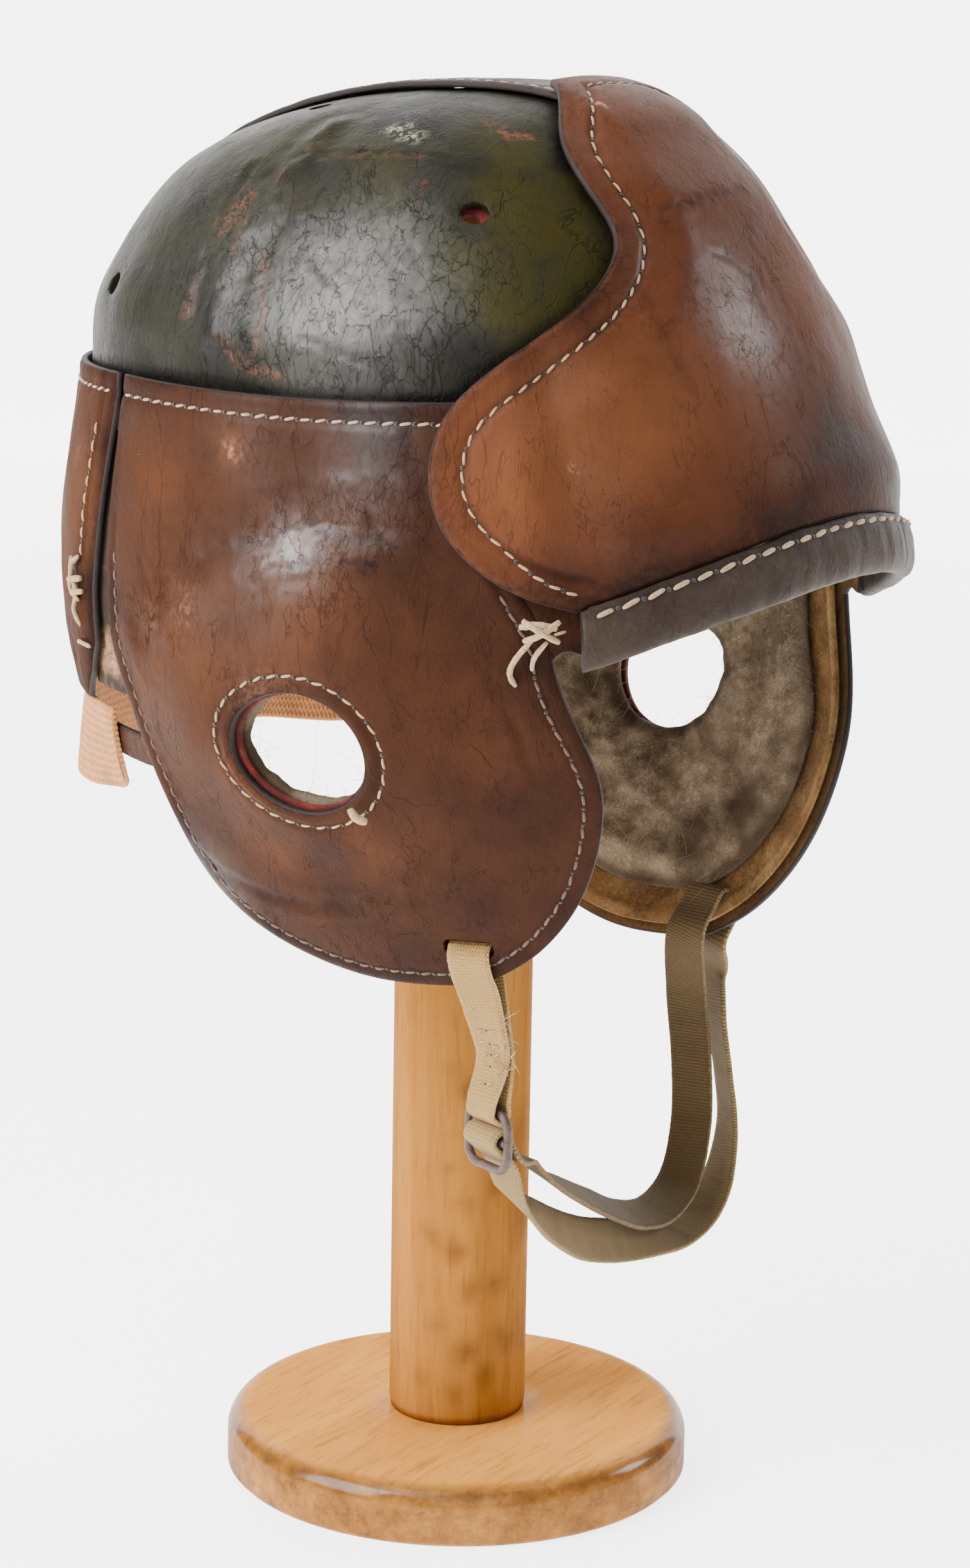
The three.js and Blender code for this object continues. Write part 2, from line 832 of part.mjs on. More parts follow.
// A flat band along a closed line. Each row holds a place and the way its width points.
function bandLoop(rows, width, thickness, steps) {
  const line = new THREE.CatmullRomCurve3(rows.map((row) => row.at), true, "centripetal");
  const widthWay = (t) => {
    const at = t * rows.length;
    const k = Math.floor(at) % rows.length;
    const next = rows[(k + 1) % rows.length];
    return rows[k].across.clone().lerp(next.across, at - Math.floor(at)).normalize();
  };
  const corners = [
    [-1, -1],
    [1, -1],
    [1, 1],
    [-1, 1],
  ];
  return swept(
    4,
    steps,
    (k, t) => {
      const [a, b] = corners[Math.round(k * 4)];
      const tangent = line.getTangent(t).normalize();
      const across = widthWay(t);
      const face = tangent.clone().cross(across).normalize();
      const flat = face.clone().cross(tangent).normalize();
      return line
        .getPoint(t)
        .addScaledVector(flat, (a * width) / 2)
        .addScaledVector(face, (b * thickness) / 2);
    },
    true,
  );
}

// A place near the slider: "aside" along its width, "out" away from the head, "below" its centre.
function bucklePoint(aside, out, below) {
  return buckleCentre
    .clone()
    .addScaledVector(buckleAcross, aside)
    .addScaledVector(buckleOut, out)
    .add(new THREE.Vector3(0, 0, -below));
}

const wireRadius = buckleWire / 2;
const limbAt = buckleHeight / 2 - wireRadius;
const loopRadius = wireRadius + 2 * gap + webbingThickness / 2;

function wideWay(x, y, z) {
  return new THREE.Vector3(x, y, z).normalize();
}

// The level way across a slot, towards the face.
function slotAcross(place) {
  const n = formNormal(place.around, place.down);
  return wideWay(-n.y, n.x, 0);
}

const slotWay = slotAcross(slotAt);
const tabRows = [
  { at: bucklePoint(0, 0, -limbAt + loopRadius), across: buckleAcross },
  { at: bucklePoint(0, loopRadius * 0.92, -limbAt + loopRadius * 0.3), across: buckleAcross },
  { at: bucklePoint(0, loopRadius * 0.9, -limbAt - loopRadius * 0.8), across: buckleAcross },
  { at: new THREE.Vector3(-57.0, -46, 137.5), across: wideWay(-0.2, -0.98, 0) },
  { at: new THREE.Vector3(-60.5, -46, 148), across: wideWay(0.05, -1, 0) },
  { at: formPoint(64.8, 286.5, 4.2), across: slotWay },
  { at: formPoint(65.4, 279.5, 4.4), across: slotWay },
  { at: formPoint(65.5, 273.4, 3.9), across: slotWay },
  { at: formPoint(65.5, 272.2, 0.4), across: slotWay },
  { at: formPoint(65.5, 272.1, -4.0), across: slotWay },
  { at: formPoint(65.4, 279.5, -5.2), across: slotWay },
  { at: formPoint(64.8, 287.5, -1.5), across: slotWay },
  { at: new THREE.Vector3(-57.6, -45.8, 148), across: wideWay(0.05, -1, 0) },
  { at: new THREE.Vector3(-54.9, -46.2, 137.5), across: wideWay(-0.2, -0.98, 0) },
  { at: bucklePoint(0, -loopRadius * 0.9, -limbAt - loopRadius * 0.8), across: buckleAcross },
  { at: bucklePoint(0, -loopRadius * 0.92, -limbAt + loopRadius * 0.3), across: buckleAcross },
];
add("tab_strap", bandLoop(tabRows, tabStrapWidth, webbingThickness, 42), colours.webbingPale, 0.9);

function farSlot(up, lift) {
  const place = hung(slotAt.around, slotAt.down, sides[1]);
  const p = formPoint(place.around, place.down - up, lift);
  p.x = -p.x;
  return p;
}

const farWay = slotAcross(hung(slotAt.around, slotAt.down, sides[1]));
farWay.x = -farWay.x;
// The webbing leaves the slider behind its lower limb, sags under the chin, rises to the slot in
// the left flap, and comes back on the inside to pass over the middle bar.
const chinRows = [
  { at: bucklePoint(0, loopRadius, 0), across: buckleAcross },
  { at: bucklePoint(0, -0.3, 3.4), across: buckleAcross },
  { at: bucklePoint(0, -3.9, limbAt - 0.6), across: buckleAcross },
  { at: new THREE.Vector3(-46.5, -46, 98), across: wideWay(-0.3, -0.9, -0.25) },
  { at: new THREE.Vector3(-33, -46, 88.5), across: wideWay(-0.2, -0.65, -0.7) },
  { at: new THREE.Vector3(-14, -46, 78), across: wideWay(-0.2, -0.5, -0.85) },
  { at: new THREE.Vector3(4, -46, 72), across: wideWay(-0.2, -0.5, -0.85) },
  { at: new THREE.Vector3(23, -46, 67.5), across: wideWay(-0.15, -0.75, -0.6) },
  { at: new THREE.Vector3(41, -46, 64.5), across: wideWay(-0.1, -0.95, -0.3) },
  { at: new THREE.Vector3(56, -46, 67.5), across: wideWay(-0.3, -0.95, -0.1) },
  { at: new THREE.Vector3(66.5, -45.5, 76), across: wideWay(-0.5, -0.86, 0) },
  { at: new THREE.Vector3(71, -45, 89), across: wideWay(-0.62, -0.78, 0) },
  { at: new THREE.Vector3(69.5, -44, 104), across: wideWay(-0.64, -0.76, 0) },
  { at: new THREE.Vector3(67, -42.5, 120), across: wideWay(-0.6, -0.8, 0) },
  { at: new THREE.Vector3(66.5, -41, 135), across: wideWay(-0.5, -0.87, 0) },
  { at: farSlot(-14, 4.6), across: farWay },
  { at: farSlot(-7, 4.6), across: farWay },
  { at: farSlot(-0.9, 3.9), across: farWay },
  { at: farSlot(0.1, 0.4), across: farWay },
  { at: farSlot(-0.9, -3.6), across: farWay },
  { at: farSlot(-7, -4.8), across: farWay },
  { at: farSlot(-15, -5.4), across: wideWay(-0.2, -0.98, 0) },
  { at: new THREE.Vector3(58.5, -37.5, 128), across: wideWay(0, -1, 0) },
  { at: new THREE.Vector3(61.5, -38, 108), across: wideWay(0, -1, 0) },
  { at: new THREE.Vector3(60.5, -39, 90), across: wideWay(0, -1, 0) },
  { at: new THREE.Vector3(52, -40.5, 76), across: wideWay(-0.1, -0.97, -0.2) },
  { at: new THREE.Vector3(37, -42, 71.5), across: wideWay(-0.1, -0.95, -0.3) },
  { at: new THREE.Vector3(20, -43, 74.5), across: wideWay(-0.1, -0.9, -0.45) },
  { at: new THREE.Vector3(3, -44, 82), across: wideWay(-0.1, -0.85, -0.5) },
  { at: new THREE.Vector3(-14, -44.5, 90.5), across: wideWay(-0.2, -0.9, -0.4) },
  { at: new THREE.Vector3(-29, -45, 98.5), across: wideWay(-0.3, -0.9, -0.2) },
  { at: new THREE.Vector3(-43, -45.5, 108), across: wideWay(-0.35, -0.93, 0) },
  { at: bucklePoint(0, -loopRadius - 3.2, 5.2), across: buckleAcross },
  { at: bucklePoint(0, -loopRadius - 0.4, 0.6), across: buckleAcross },
  { at: bucklePoint(0, -1.2, -loopRadius + 0.1), across: buckleAcross },
  { at: bucklePoint(0, 1.4, -loopRadius + 0.3), across: buckleAcross },
];
add("chin_strap", bandLoop(chinRows, chinStrapWidth, webbingThickness, 78), colours.webbing, 0.92);

// The slider: a rounded rectangle of wire with a bar across its middle.
const halfW = buckleWidth / 2 - wireRadius;
const halfH = limbAt;
const turns = [
  { x: halfW - buckleCorner, y: halfH - buckleCorner, from: 0 },
  { x: -halfW + buckleCorner, y: halfH - buckleCorner, from: 90 },
  { x: -halfW + buckleCorner, y: -halfH + buckleCorner, from: 180 },
  { x: halfW - buckleCorner, y: -halfH + buckleCorner, from: 270 },
];
const wirePoints = [];
for (const turn of turns) {
  for (const step of [0, 30, 60, 90]) {
    const a = rad(turn.from + step);
    wirePoints.push([turn.x + buckleCorner * Math.cos(a), turn.y + buckleCorner * Math.sin(a)]);
  }
}
const wireSides = 8;
const wireRing = swept(
  wireSides,
  wirePoints.length,
  (k, t) => {
    const i = Math.round(t * wirePoints.length) % wirePoints.length;
    const before = wirePoints[(i + wirePoints.length - 1) % wirePoints.length];
    const after = wirePoints[(i + 1) % wirePoints.length];
    const along = new THREE.Vector2(after[0] - before[0], after[1] - before[1]).normalize();
    const a = 2 * Math.PI * k;
    const outward = wireRadius * Math.cos(a);
    const [x, y] = wirePoints[i];
    return bucklePoint(x + along.y * outward, wireRadius * Math.sin(a), -(y - along.x * outward));
  },
  true,
);
const bar = swept(wireSides, 1, (k, t) => {
  const a = 2 * Math.PI * k;
  return bucklePoint(halfW * (1 - 2 * t), wireRadius * Math.cos(a), wireRadius * Math.sin(a));
});
add("slider_buckle", fromSolid(toSolid(wireRing).add(toSolid(bar))), colours.bronze, 0.45, 0.9);

// Stand

const postRadius = postDiameter / 2;
const postFoot = baseThickness + 0.3;
const postChamfer = 1.2;
const postProfile = [
  new THREE.Vector2(0, postFoot),
  new THREE.Vector2(postRadius, postFoot),
  new THREE.Vector2(postRadius, postTop - postChamfer),
  new THREE.Vector2(postRadius - postChamfer, postTop),
  new THREE.Vector2(0, postTop),
];
const upright = new THREE.Matrix4().makeRotationX(Math.PI / 2);
const postShape = new THREE.LatheGeometry(postProfile, 36);
postShape.applyMatrix4(upright);
add("stand_post", weld(postShape), colours.wood, 0.35);

const baseRadius = baseDiameter / 2;
const baseProfile = [
  new THREE.Vector2(0, 0),
  new THREE.Vector2(baseRadius - baseChamfer, 0),
  new THREE.Vector2(baseRadius, baseChamfer),
];
for (const step of [0, 22.5, 45, 67.5, 90]) {
  const a = rad(step);
  const x = baseRadius - baseRound + baseRound * Math.cos(a);
  baseProfile.push(new THREE.Vector2(x, baseThickness - baseRound + baseRound * Math.sin(a)));
}
baseProfile.push(new THREE.Vector2(0, baseThickness));
const baseShape = new THREE.LatheGeometry(baseProfile, 36);
baseShape.applyMatrix4(upright);
add("stand_base", weld(baseShape), colours.wood, 0.35);

export default helmet;
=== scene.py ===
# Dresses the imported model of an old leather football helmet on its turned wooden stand.
import math
import bmesh
import bpy
import numpy as np
from mathutils import Matrix, Vector, noise
from mathutils.bvhtree import BVHTree


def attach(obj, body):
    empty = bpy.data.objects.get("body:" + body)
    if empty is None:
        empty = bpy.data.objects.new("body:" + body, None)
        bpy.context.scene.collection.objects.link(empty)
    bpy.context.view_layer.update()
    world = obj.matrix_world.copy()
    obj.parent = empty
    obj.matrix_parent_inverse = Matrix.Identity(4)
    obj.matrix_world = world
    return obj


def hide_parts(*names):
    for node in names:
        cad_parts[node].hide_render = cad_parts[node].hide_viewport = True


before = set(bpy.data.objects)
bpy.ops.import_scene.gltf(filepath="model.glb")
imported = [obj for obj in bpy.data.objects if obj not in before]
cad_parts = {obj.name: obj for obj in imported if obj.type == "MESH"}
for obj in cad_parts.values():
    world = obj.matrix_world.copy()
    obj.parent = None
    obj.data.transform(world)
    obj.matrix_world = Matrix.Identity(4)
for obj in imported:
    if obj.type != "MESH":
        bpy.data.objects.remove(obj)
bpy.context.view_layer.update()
mm = 0.001
print("frame loaded,", len(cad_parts), "nodes")

# The camera stands where the photograph was taken from.
viewpoint = {"place": (-0.8407, -0.5415, 0.4044), "turn": 57.5, "dip": 11.87, "roll": 0.017, "lens": 86.3}


def placeCamera(values):
    turn, dip = math.radians(values["turn"]), math.radians(values["dip"])
    ahead = Vector((math.sin(turn) * math.cos(dip), math.cos(turn) * math.cos(dip), -math.sin(dip)))
    right = Vector((math.cos(turn), -math.sin(turn), 0))
    up = right.cross(ahead)
    c, s = math.cos(values["roll"]), math.sin(values["roll"])
    right, up = right * c + up * s, up * c - right * s
    data = bpy.data.cameras.new("photoCamera")
    data.sensor_width = 36
    data.lens = values["lens"]
    camera = bpy.data.objects.new("photoCamera", data)
    camera.matrix_world = Matrix((
        (right.x, up.x, -ahead.x, values["place"][0]),
        (right.y, up.y, -ahead.y, values["place"][1]),
        (right.z, up.z, -ahead.z, values["place"][2]),
        (0, 0, 0, 1),
    ))
    bpy.context.scene.collection.objects.link(camera)
    bpy.context.scene.camera = camera


placeCamera(viewpoint)

# The head form that every leather piece lies on, in millimetres.

headForm = {
    # way down from the top, height there, reach to the side, to the front, to the back
    "sections": [
        (0, 380.5, 0, 0, 0), (20, 379.6, 20, 20, 22), (40, 375.6, 40, 38, 46), (60, 367.0, 59, 51, 71.5),
        (80, 354.2, 74, 62.8, 89.5), (100, 337.5, 84, 73.2, 100), (120, 318.8, 89.5, 83, 106.5),
        (140, 299.2, 91.2, 91.6, 109.6), (160, 279.2, 92.4, 99.2, 114), (180, 259.2, 92.5, 103.8, 116),
        (200, 239.2, 91.5, 104.8, 115), (220, 219.4, 89, 103, 110.5), (240, 200.0, 84, 99.5, 104),
        (260, 181.6, 77, 95.5, 97), (280, 164.0, 68, 90, 89), (300, 147.4, 58, 84, 80),
    ],
    "axisY": -6.0,
    "frontSquareness": 2.25,
    "backSquareness": 2.2,
    "gap": 0.4,
    "perDegree": 1.58,
}

perDegree, gap = headForm["perDegree"], headForm["gap"]
chartScale = np.array([perDegree, 1.0])  # flat millimetres for (around, down)


def naturalSpline(xs, ys):
    xs, ys = np.asarray(xs, float), np.asarray(ys, float)
    n, h = len(xs), np.diff(xs)
    system, pull = np.zeros((n, n)), np.zeros(n)
    system[0, 0] = system[-1, -1] = 1
    for i in range(1, n - 1):
        system[i, i - 1:i + 2] = h[i - 1], 2 * (h[i - 1] + h[i]), h[i]
        pull[i] = 6 * ((ys[i + 1] - ys[i]) / h[i] - (ys[i] - ys[i - 1]) / h[i - 1])
    bend = np.linalg.solve(system, pull)

    def at(x):
        x = np.asarray(x, float)
        k = np.clip(np.searchsorted(xs, x, side="right") - 1, 0, n - 2)
        span = h[k]
        a, b = (xs[k + 1] - x) / span, (x - xs[k]) / span
        curve = ((a ** 3 - a) * bend[k] + (b ** 3 - b) * bend[k + 1]) * span * span / 6
        return a * ys[k] + b * ys[k + 1] + curve

    return at


sections = np.array(headForm["sections"], float)
heightAt, sideAt, frontAt, backAt = (naturalSpline(sections[:, 0], sections[:, k]) for k in (1, 2, 3, 4))


# Around is in degrees from the front towards the wearer's right, down in millimetres from the top.
def formBase(around, down):
    around, down = np.broadcast_arrays(np.asarray(around, float), np.asarray(down, float))
    c, s = np.cos(np.radians(around)), np.sin(np.radians(around))
    n = np.where(c > 0, headForm["frontSquareness"], headForm["backSquareness"])
    reach = np.where(c > 0, frontAt(down), backAt(down))
    k = (np.abs(s) ** n + np.abs(c) ** n) ** (-1 / n)
    return np.stack([-sideAt(down) * k * s, -reach * k * c + headForm["axisY"], heightAt(down)], -1)


def formNormal(around, down):
    around, down = np.broadcast_arrays(np.asarray(around, float), np.asarray(down, float))
    across = formBase(around + 0.3, down) - formBase(around - 0.3, down)
    along = formBase(around, down + 0.3) - formBase(around, down - 0.3)
    return np.where(down[..., None] < 1, np.array([0.0, 0.0, 1.0]), unit(np.cross(across, along)))


def onForm(around, down):
    return formBase(around, down), formNormal(around, down)


def formPoint(around, down, lift):
    return formBase(around, down) + formNormal(around, down) * np.asarray(lift, float)[..., None]


def onSide(points, side):
    return points * np.array([side["turn"], 1, 1])


def smooth(start, end, value):
    t = held((np.asarray(value, float) - start) / (end - start))
    return t * t * (3 - 2 * t)


def held(values, top=1):
    return np.clip(values, 0, top)


def bell(values, width):
    return np.exp(-(values / width) ** 2)


def unit(vectors):
    return vectors / np.maximum(np.linalg.norm(vectors, axis=-1, keepdims=True), 1e-12)


def grid(columns, rows):
    return np.meshgrid(np.linspace(0, 1, columns), np.linspace(0, 1, rows))


# Distance of every point from a line of points, in millimetres.
def farFrom(points, line, closed=False):
    flat = points.reshape(-1, 3)
    best = np.full(len(flat), 1e9)
    ends = np.roll(line, -1, axis=0) if closed else line[1:]
    for a, b in zip(line, ends):
        span = b - a
        t = held((flat - a) @ span / max(span @ span, 1e-9))
        best = np.minimum(best, np.linalg.norm(flat - a - t[:, None] * span, axis=1))
    return best.reshape(points.shape[:-1])


# How far along a line each of its points lies.
def runOf(line):
    return np.concatenate([[0], np.cumsum(np.linalg.norm(np.diff(line, axis=0), axis=1))])


def placeAt(line, run, at):
    return np.stack([np.interp(at, run, column) for column in line.T], -1)


def evenly(line, step):
    run = runOf(line)
    return placeAt(line, run, np.linspace(0, run[-1], max(2, int(round(run[-1] / step)) + 1)))


# A smooth line through a few points, with so many steps from one to the next.
def curveThrough(points, steps):
    points = np.array(points, float)
    marks = np.arange(len(points), dtype=float)
    fine = np.linspace(0, len(points) - 1, (len(points) - 1) * steps + 1)
    return np.stack([naturalSpline(marks, column)(fine) for column in points.T], -1)


# Chart lines are (around, down) pairs, here made even and smooth.
def chartEven(rows, step=1.5):
    return evenly(np.asarray(rows) * chartScale, step) / chartScale


def chartLine(places, step=1.5):
    return chartEven(curveThrough(places, 12) if len(places) > 2 else np.array(places, float), step)


def formLine(places):
    return formBase(*chartLine(places).T)


def cloudy(points, size, seed, octaves=3):
    shift = Vector((seed * 7.31, seed * 3.17, seed * 5.73))
    flat = points.reshape(-1, 3) / size
    values = [noise.fractal(Vector(p) + shift, 0.9, 2.1, octaves) for p in flat]
    return np.array(values).reshape(points.shape[:-1])


# Places moved a little at random, so that a line drawn by them wanders.
def shaken(base, size, reach, seed):
    return base + reach * np.stack([cloudy(base, size, seed + k, 2) for k in range(3)], -1)


# Folds and grooves pressed into a surface, each a chart line, a depth and a width.
def creased(base, creases):
    relief = np.zeros(base.shape[:-1])
    loose = shaken(base, 5.0, 1.5, 5)
    uneven = np.clip(0.9 + 1.1 * cloudy(base, 7.0, 9, 2), 0.15, 1.7)
    for places, depth, width in creases:
        away = farFrom(loose if width < 1.5 else base, formLine(places)) / width
        relief += depth * uneven * (0.4 * bell(away - 1.9, 0.9) - bell(away, 1))
    return relief


# Narrow marks of tone, each a chart line, a half width and a strength.
def strokes(base, marks):
    field = np.zeros(base.shape[:-1])
    loose = shaken(base, 3.5, 1.3, 15)
    for places, width, strength in marks:
        field += strength * bell(farFrom(loose, formLine(places)), width)
    return field


# Soft patches of tone, each a place, a reach in millimetres and a strength.
def patches(base, spots, sign=1):
    field = np.zeros(base.shape[:-1])
    for around, down, reach, strength in spots:
        centre = formBase(around, down)
        centre[0] *= sign
        field += strength * bell(np.linalg.norm(base - centre, axis=-1), reach)
    return field


# Mesh helpers.

pieces = {}
leathers = ("crown", "pad", "ear", "back", "strip", "roll")


def finishPiece(name, mesh, kinds, replaces=(), body="root"):
    for kind in kinds:
        mesh.materials.append(finishes[kind])
    mesh.polygons.foreach_set("use_smooth", [True] * len(mesh.polygons))
    piece = bpy.data.objects.new(name, mesh)
    bpy.context.scene.collection.objects.link(piece)
    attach(piece, body)
    if replaces:
        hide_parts(*replaces)
    pieces[name] = piece
    return piece


def meshFrom(name, points, faces, kinds=None, fields=None, merge=False):
    mesh = bpy.data.meshes.new(name)
    mesh.from_pydata((np.asarray(points) * mm).tolist(), [], [list(map(int, f)) for f in faces])
    if kinds is not None:
        mesh.polygons.foreach_set("material_index", np.asarray(kinds, np.int32))
    for key, values in (fields or {}).items():
        values = np.asarray(values, np.float32)
        layer = mesh.attributes.new(key, "FLOAT_VECTOR" if values.ndim == 2 else "FLOAT", "POINT")
        layer.data.foreach_set("vector" if values.ndim == 2 else "value", values.ravel())
    sheet = bmesh.new()
    sheet.from_mesh(mesh)
    if merge:
        bmesh.ops.remove_doubles(sheet, verts=sheet.verts, dist=1e-7)
    bmesh.ops.recalc_face_normals(sheet, faces=sheet.faces)
    sheet.to_mesh(mesh)
    sheet.free()
    mesh.update()
    return mesh


# A leather, felt or cloth wall from its outer and inner faces, with a rounded cut edge.
# Faces of kind 0 are the outer side, 1 the cut edge and 2 the inner side.
def wallMesh(name, outer, inner, ringed=False, fields=None, edgeSteps=3, swell=0.6):
    rows, cols = outer.shape[:2]
    count = rows * cols
    index = np.arange(count).reshape(rows, cols)
    if ringed:
        after = np.roll(index, -1, axis=1)
        quads = np.stack([index[:-1], after[:-1], after[1:], index[1:]], -1).reshape(-1, 4)
        borders = [(index[0], index[1]), (index[-1], index[-2])]
    else:
        quads = np.stack([index[:-1, :-1], index[:-1, 1:], index[1:, 1:], index[1:, :-1]], -1).reshape(-1, 4)
        rim = np.concatenate([index[0], index[1:, -1], index[-1, -2::-1], index[-2:0:-1, 0]])
        inside = np.clip(np.stack([rim // cols, rim % cols], -1), 1, [rows - 2, cols - 2])
        borders = [(rim, inside[:, 0] * cols + inside[:, 1])]
    top, under = outer.reshape(-1, 3), inner.reshape(-1, 3)
    points = [top, under]
    source = [np.arange(count), np.arange(count)]
    faces, kinds = [quads, quads[:, ::-1] + count], [np.zeros(len(quads)), np.full(len(quads), 2)]
    start = 2 * count
    for loop, neighbour in borders:
        outward = unit(top[loop] - top[neighbour])
        middle, half = (top[loop] + under[loop]) / 2, (top[loop] - under[loop]) / 2
        size = np.linalg.norm(half, axis=1, keepdims=True)
        rings = [loop]
        for k in range(1, edgeSteps + 1):
            angle = math.pi * k / (edgeSteps + 1)
            points.append(middle + half * math.cos(angle) + outward * size * swell * math.sin(angle))
            source.append(loop)
            rings.append(np.arange(start, start + len(loop)))
            start += len(loop)
        rings.append(loop + count)
        for a, b in zip(rings, rings[1:]):
            faces.append(np.stack([a, np.roll(a, -1), np.roll(b, -1), b], -1))
            kinds.append(np.ones(len(a)))
    source = np.concatenate(source)
    carried = {}
    for key, values in (fields or {}).items():
        carried[key] = np.asarray(values).reshape(count, *np.shape(values)[2:])[source]
    return meshFrom(name, np.concatenate(points), np.concatenate(faces), np.concatenate(kinds), carried, merge=True)


# A wall over the head form from its top and low lifts, as a finished piece.
def layWall(name, form, lifts, kind, replaces, fields, side=None, ringed=False, shift=0.0):
    base, ways = form
    sheets = []
    for lift in lifts:
        sheet = base + ways * np.broadcast_to(lift, base.shape[:-1])[..., None]
        sheet[..., 0] -= shift
        sheets.append(onSide(sheet, side) if side else sheet)
    kinds = (kind, "cut", "flesh") if kind in leathers else (kind,) * 3
    return finishPiece(name, wallMesh(name, *sheets, ringed=ringed, fields=fields), kinds, replaces)


def raysOn(piece):
    return BVHTree.FromObject(piece, bpy.context.evaluated_depsgraph_get())


# Lays points of a line onto a made piece, looking along the form's normals.
def settle(rays, points, ways):
    laid, normals = [], []
    for p, way in zip(points, ways):
        start, way = Vector(p * mm), Vector(way).normalized()
        place, normal, _, _ = rays.ray_cast(start + way * 0.02, -way, 0.05)
        if place is None:
            place, normal, _, _ = rays.find_nearest(start)
        if normal.dot(way) < 0:
            normal = -normal
        laid.append(np.array(place) / mm)
        normals.append(np.array(normal))
    return np.array(laid), np.array(normals)


# A seam along chart places on a made piece: its points, their normals and whether it closes.
def seamOn(rays, around, down, side, closed=False):
    return *settle(rays, *(onSide(part, side) for part in onForm(around, down))), closed


# Cuts holes through a piece with plain cutters that are then thrown away.
def cutHoles(piece, cutters):
    for cutter in cutters:
        tool = piece.modifiers.new("hole", "BOOLEAN")
        tool.operation = "DIFFERENCE"
        tool.solver = "EXACT"
        tool.object = cutter
    evaluated = piece.evaluated_get(bpy.context.evaluated_depsgraph_get())
    mesh = bpy.data.meshes.new_from_object(evaluated)
    piece.modifiers.clear()
    old = piece.data
    piece.data = mesh
    bpy.data.meshes.remove(old)
    for cutter in cutters:
        mesh = cutter.data
        bpy.data.objects.remove(cutter)
        bpy.data.meshes.remove(mesh)


# Faces between rings of n points that follow one another from a start.
def tubeFaces(start, rings, n):
    faces = []
    for a in range(start, start + (rings - 1) * n, n):
        faces += [[a + k, a + (k + 1) % n, a + n + (k + 1) % n, a + n + k] for k in range(n)]
    return faces


# The same with a tip before the first ring and one after the last.
def spindleFaces(rings, n):
    last = 1 + (rings - 1) * n
    first = [[0, 1 + (k + 1) % n, 1 + k] for k in range(n)]
    return first + tubeFaces(1, rings, n) + [[last + k, last + (k + 1) % n, last + n] for k in range(n)]


# The same with a flat lid on both ends.
def liddedFaces(start, rings, n):
    last = start + (rings - 1) * n
    return tubeFaces(start, rings, n) + [list(range(start, start + n))[::-1], list(range(last, last + n))]


def hoop(centre, aside, other, radius, angles):
    return [centre + (aside * math.cos(a) + other * math.sin(a)) * radius for a in angles]


def turnsOf(count):
    return np.linspace(0, 2 * math.pi, count + 1)[:-1]


def roundedOblong(halfWidth, halfHeight, corner, angles):
    x, y = halfWidth - corner, halfHeight - corner
    corners = [(x, y, 0), (-x, y, 90), (-x, -y, 180), (x, -y, 270)]
    turns = [(cx, cy, math.radians(a + k)) for cx, cy, a in corners for k in angles]
    return [(cx + corner * math.cos(a), cy + corner * math.sin(a)) for cx, cy, a in turns]


def standingCutter(around, down, side, outline, depth=16):
    around, down = float(around), float(down)
    centre, outward = formPoint(around, down, 0), formNormal(around, down)
    across = unit(np.array([outward[1], -outward[0], 0]))
    upward = np.cross(outward, across)
    points = [
        centre + across * x + upward * y + outward * end
        for end in (-depth / 2, depth / 2) for x, y in outline
    ]
    mesh = meshFrom("cutter", onSide(np.array(points), side), liddedFaces(0, 2, len(outline)))
    cutter = bpy.data.objects.new("cutter", mesh)
    bpy.context.scene.collection.objects.link(cutter)
    return cutter


# Shader helpers. A node is put into the tree of the socket or node that it is put near.

def feed(node, inputs):
    for key, value in inputs.items():
        if isinstance(value, bpy.types.NodeSocket):
            node.id_data.links.new(value, node.inputs[key])
        else:
            node.inputs[key].default_value = value


def put(near, kind, inputs=None, **settings):
    node = near.id_data.nodes.new("ShaderNode" + kind)
    for key, value in settings.items():
        setattr(node, key, value)
    feed(node, inputs or {})
    return node


def calc(operation, a, b=0.5, clamp=False):
    near = a if isinstance(a, bpy.types.NodeSocket) else b
    return put(near, "Math", {0: a, 1: b}, operation=operation, use_clamp=clamp).outputs[0]


def times(a, b, clamp=False):
    return calc("MULTIPLY", a, b, clamp)


def plus(a, b, clamp=False):
    return calc("ADD", a, b, clamp)


def less(a, b):
    return calc("SUBTRACT", a, b)


def most(wires):
    best = wires[0]
    for wire in wires[1:]:
        best = calc("MAXIMUM", best, wire)
    return best


def span(value, low, high, newLow=0.0, newHigh=1.0):
    inputs = {"Value": value, "From Min": low, "From Max": high, "To Min": newLow, "To Max": newHigh}
    return put(value, "MapRange", inputs).outputs["Result"]


def ranged(value, newLow, newHigh):
    return span(value, 0.0, 1.0, newLow, newHigh)


def tint(factor, first, second):
    first, second = ((*c, 1.0) if isinstance(c, tuple) else c for c in (first, second))
    return put(factor, "Mix", {0: factor, 6: first, 7: second}, data_type="RGBA").outputs[2]


def attribute(near, name, output="Fac"):
    return put(near, "Attribute", attribute_name=name).outputs[output]


def clouds(vector, scale, detail=4.0, roughness=0.55, distortion=0.0):
    inputs = {"Vector": vector, "Scale": scale, "Detail": detail, "Roughness": roughness, "Distortion": distortion}
    return put(vector, "TexNoise", inputs).outputs["Fac"]


def vectors(operation, a, b):
    return put(a, "VectorMath", {0: a, 1: b}, operation=operation).outputs[0]


# A vector from a colour noise, a little way in every direction.
def shiver(vector, scale, detail, reach):
    colour = put(vector, "TexNoise", {"Vector": vector, "Scale": scale, "Detail": detail}).outputs["Color"]
    return vectors("MULTIPLY", colour, (reach,) * 3)


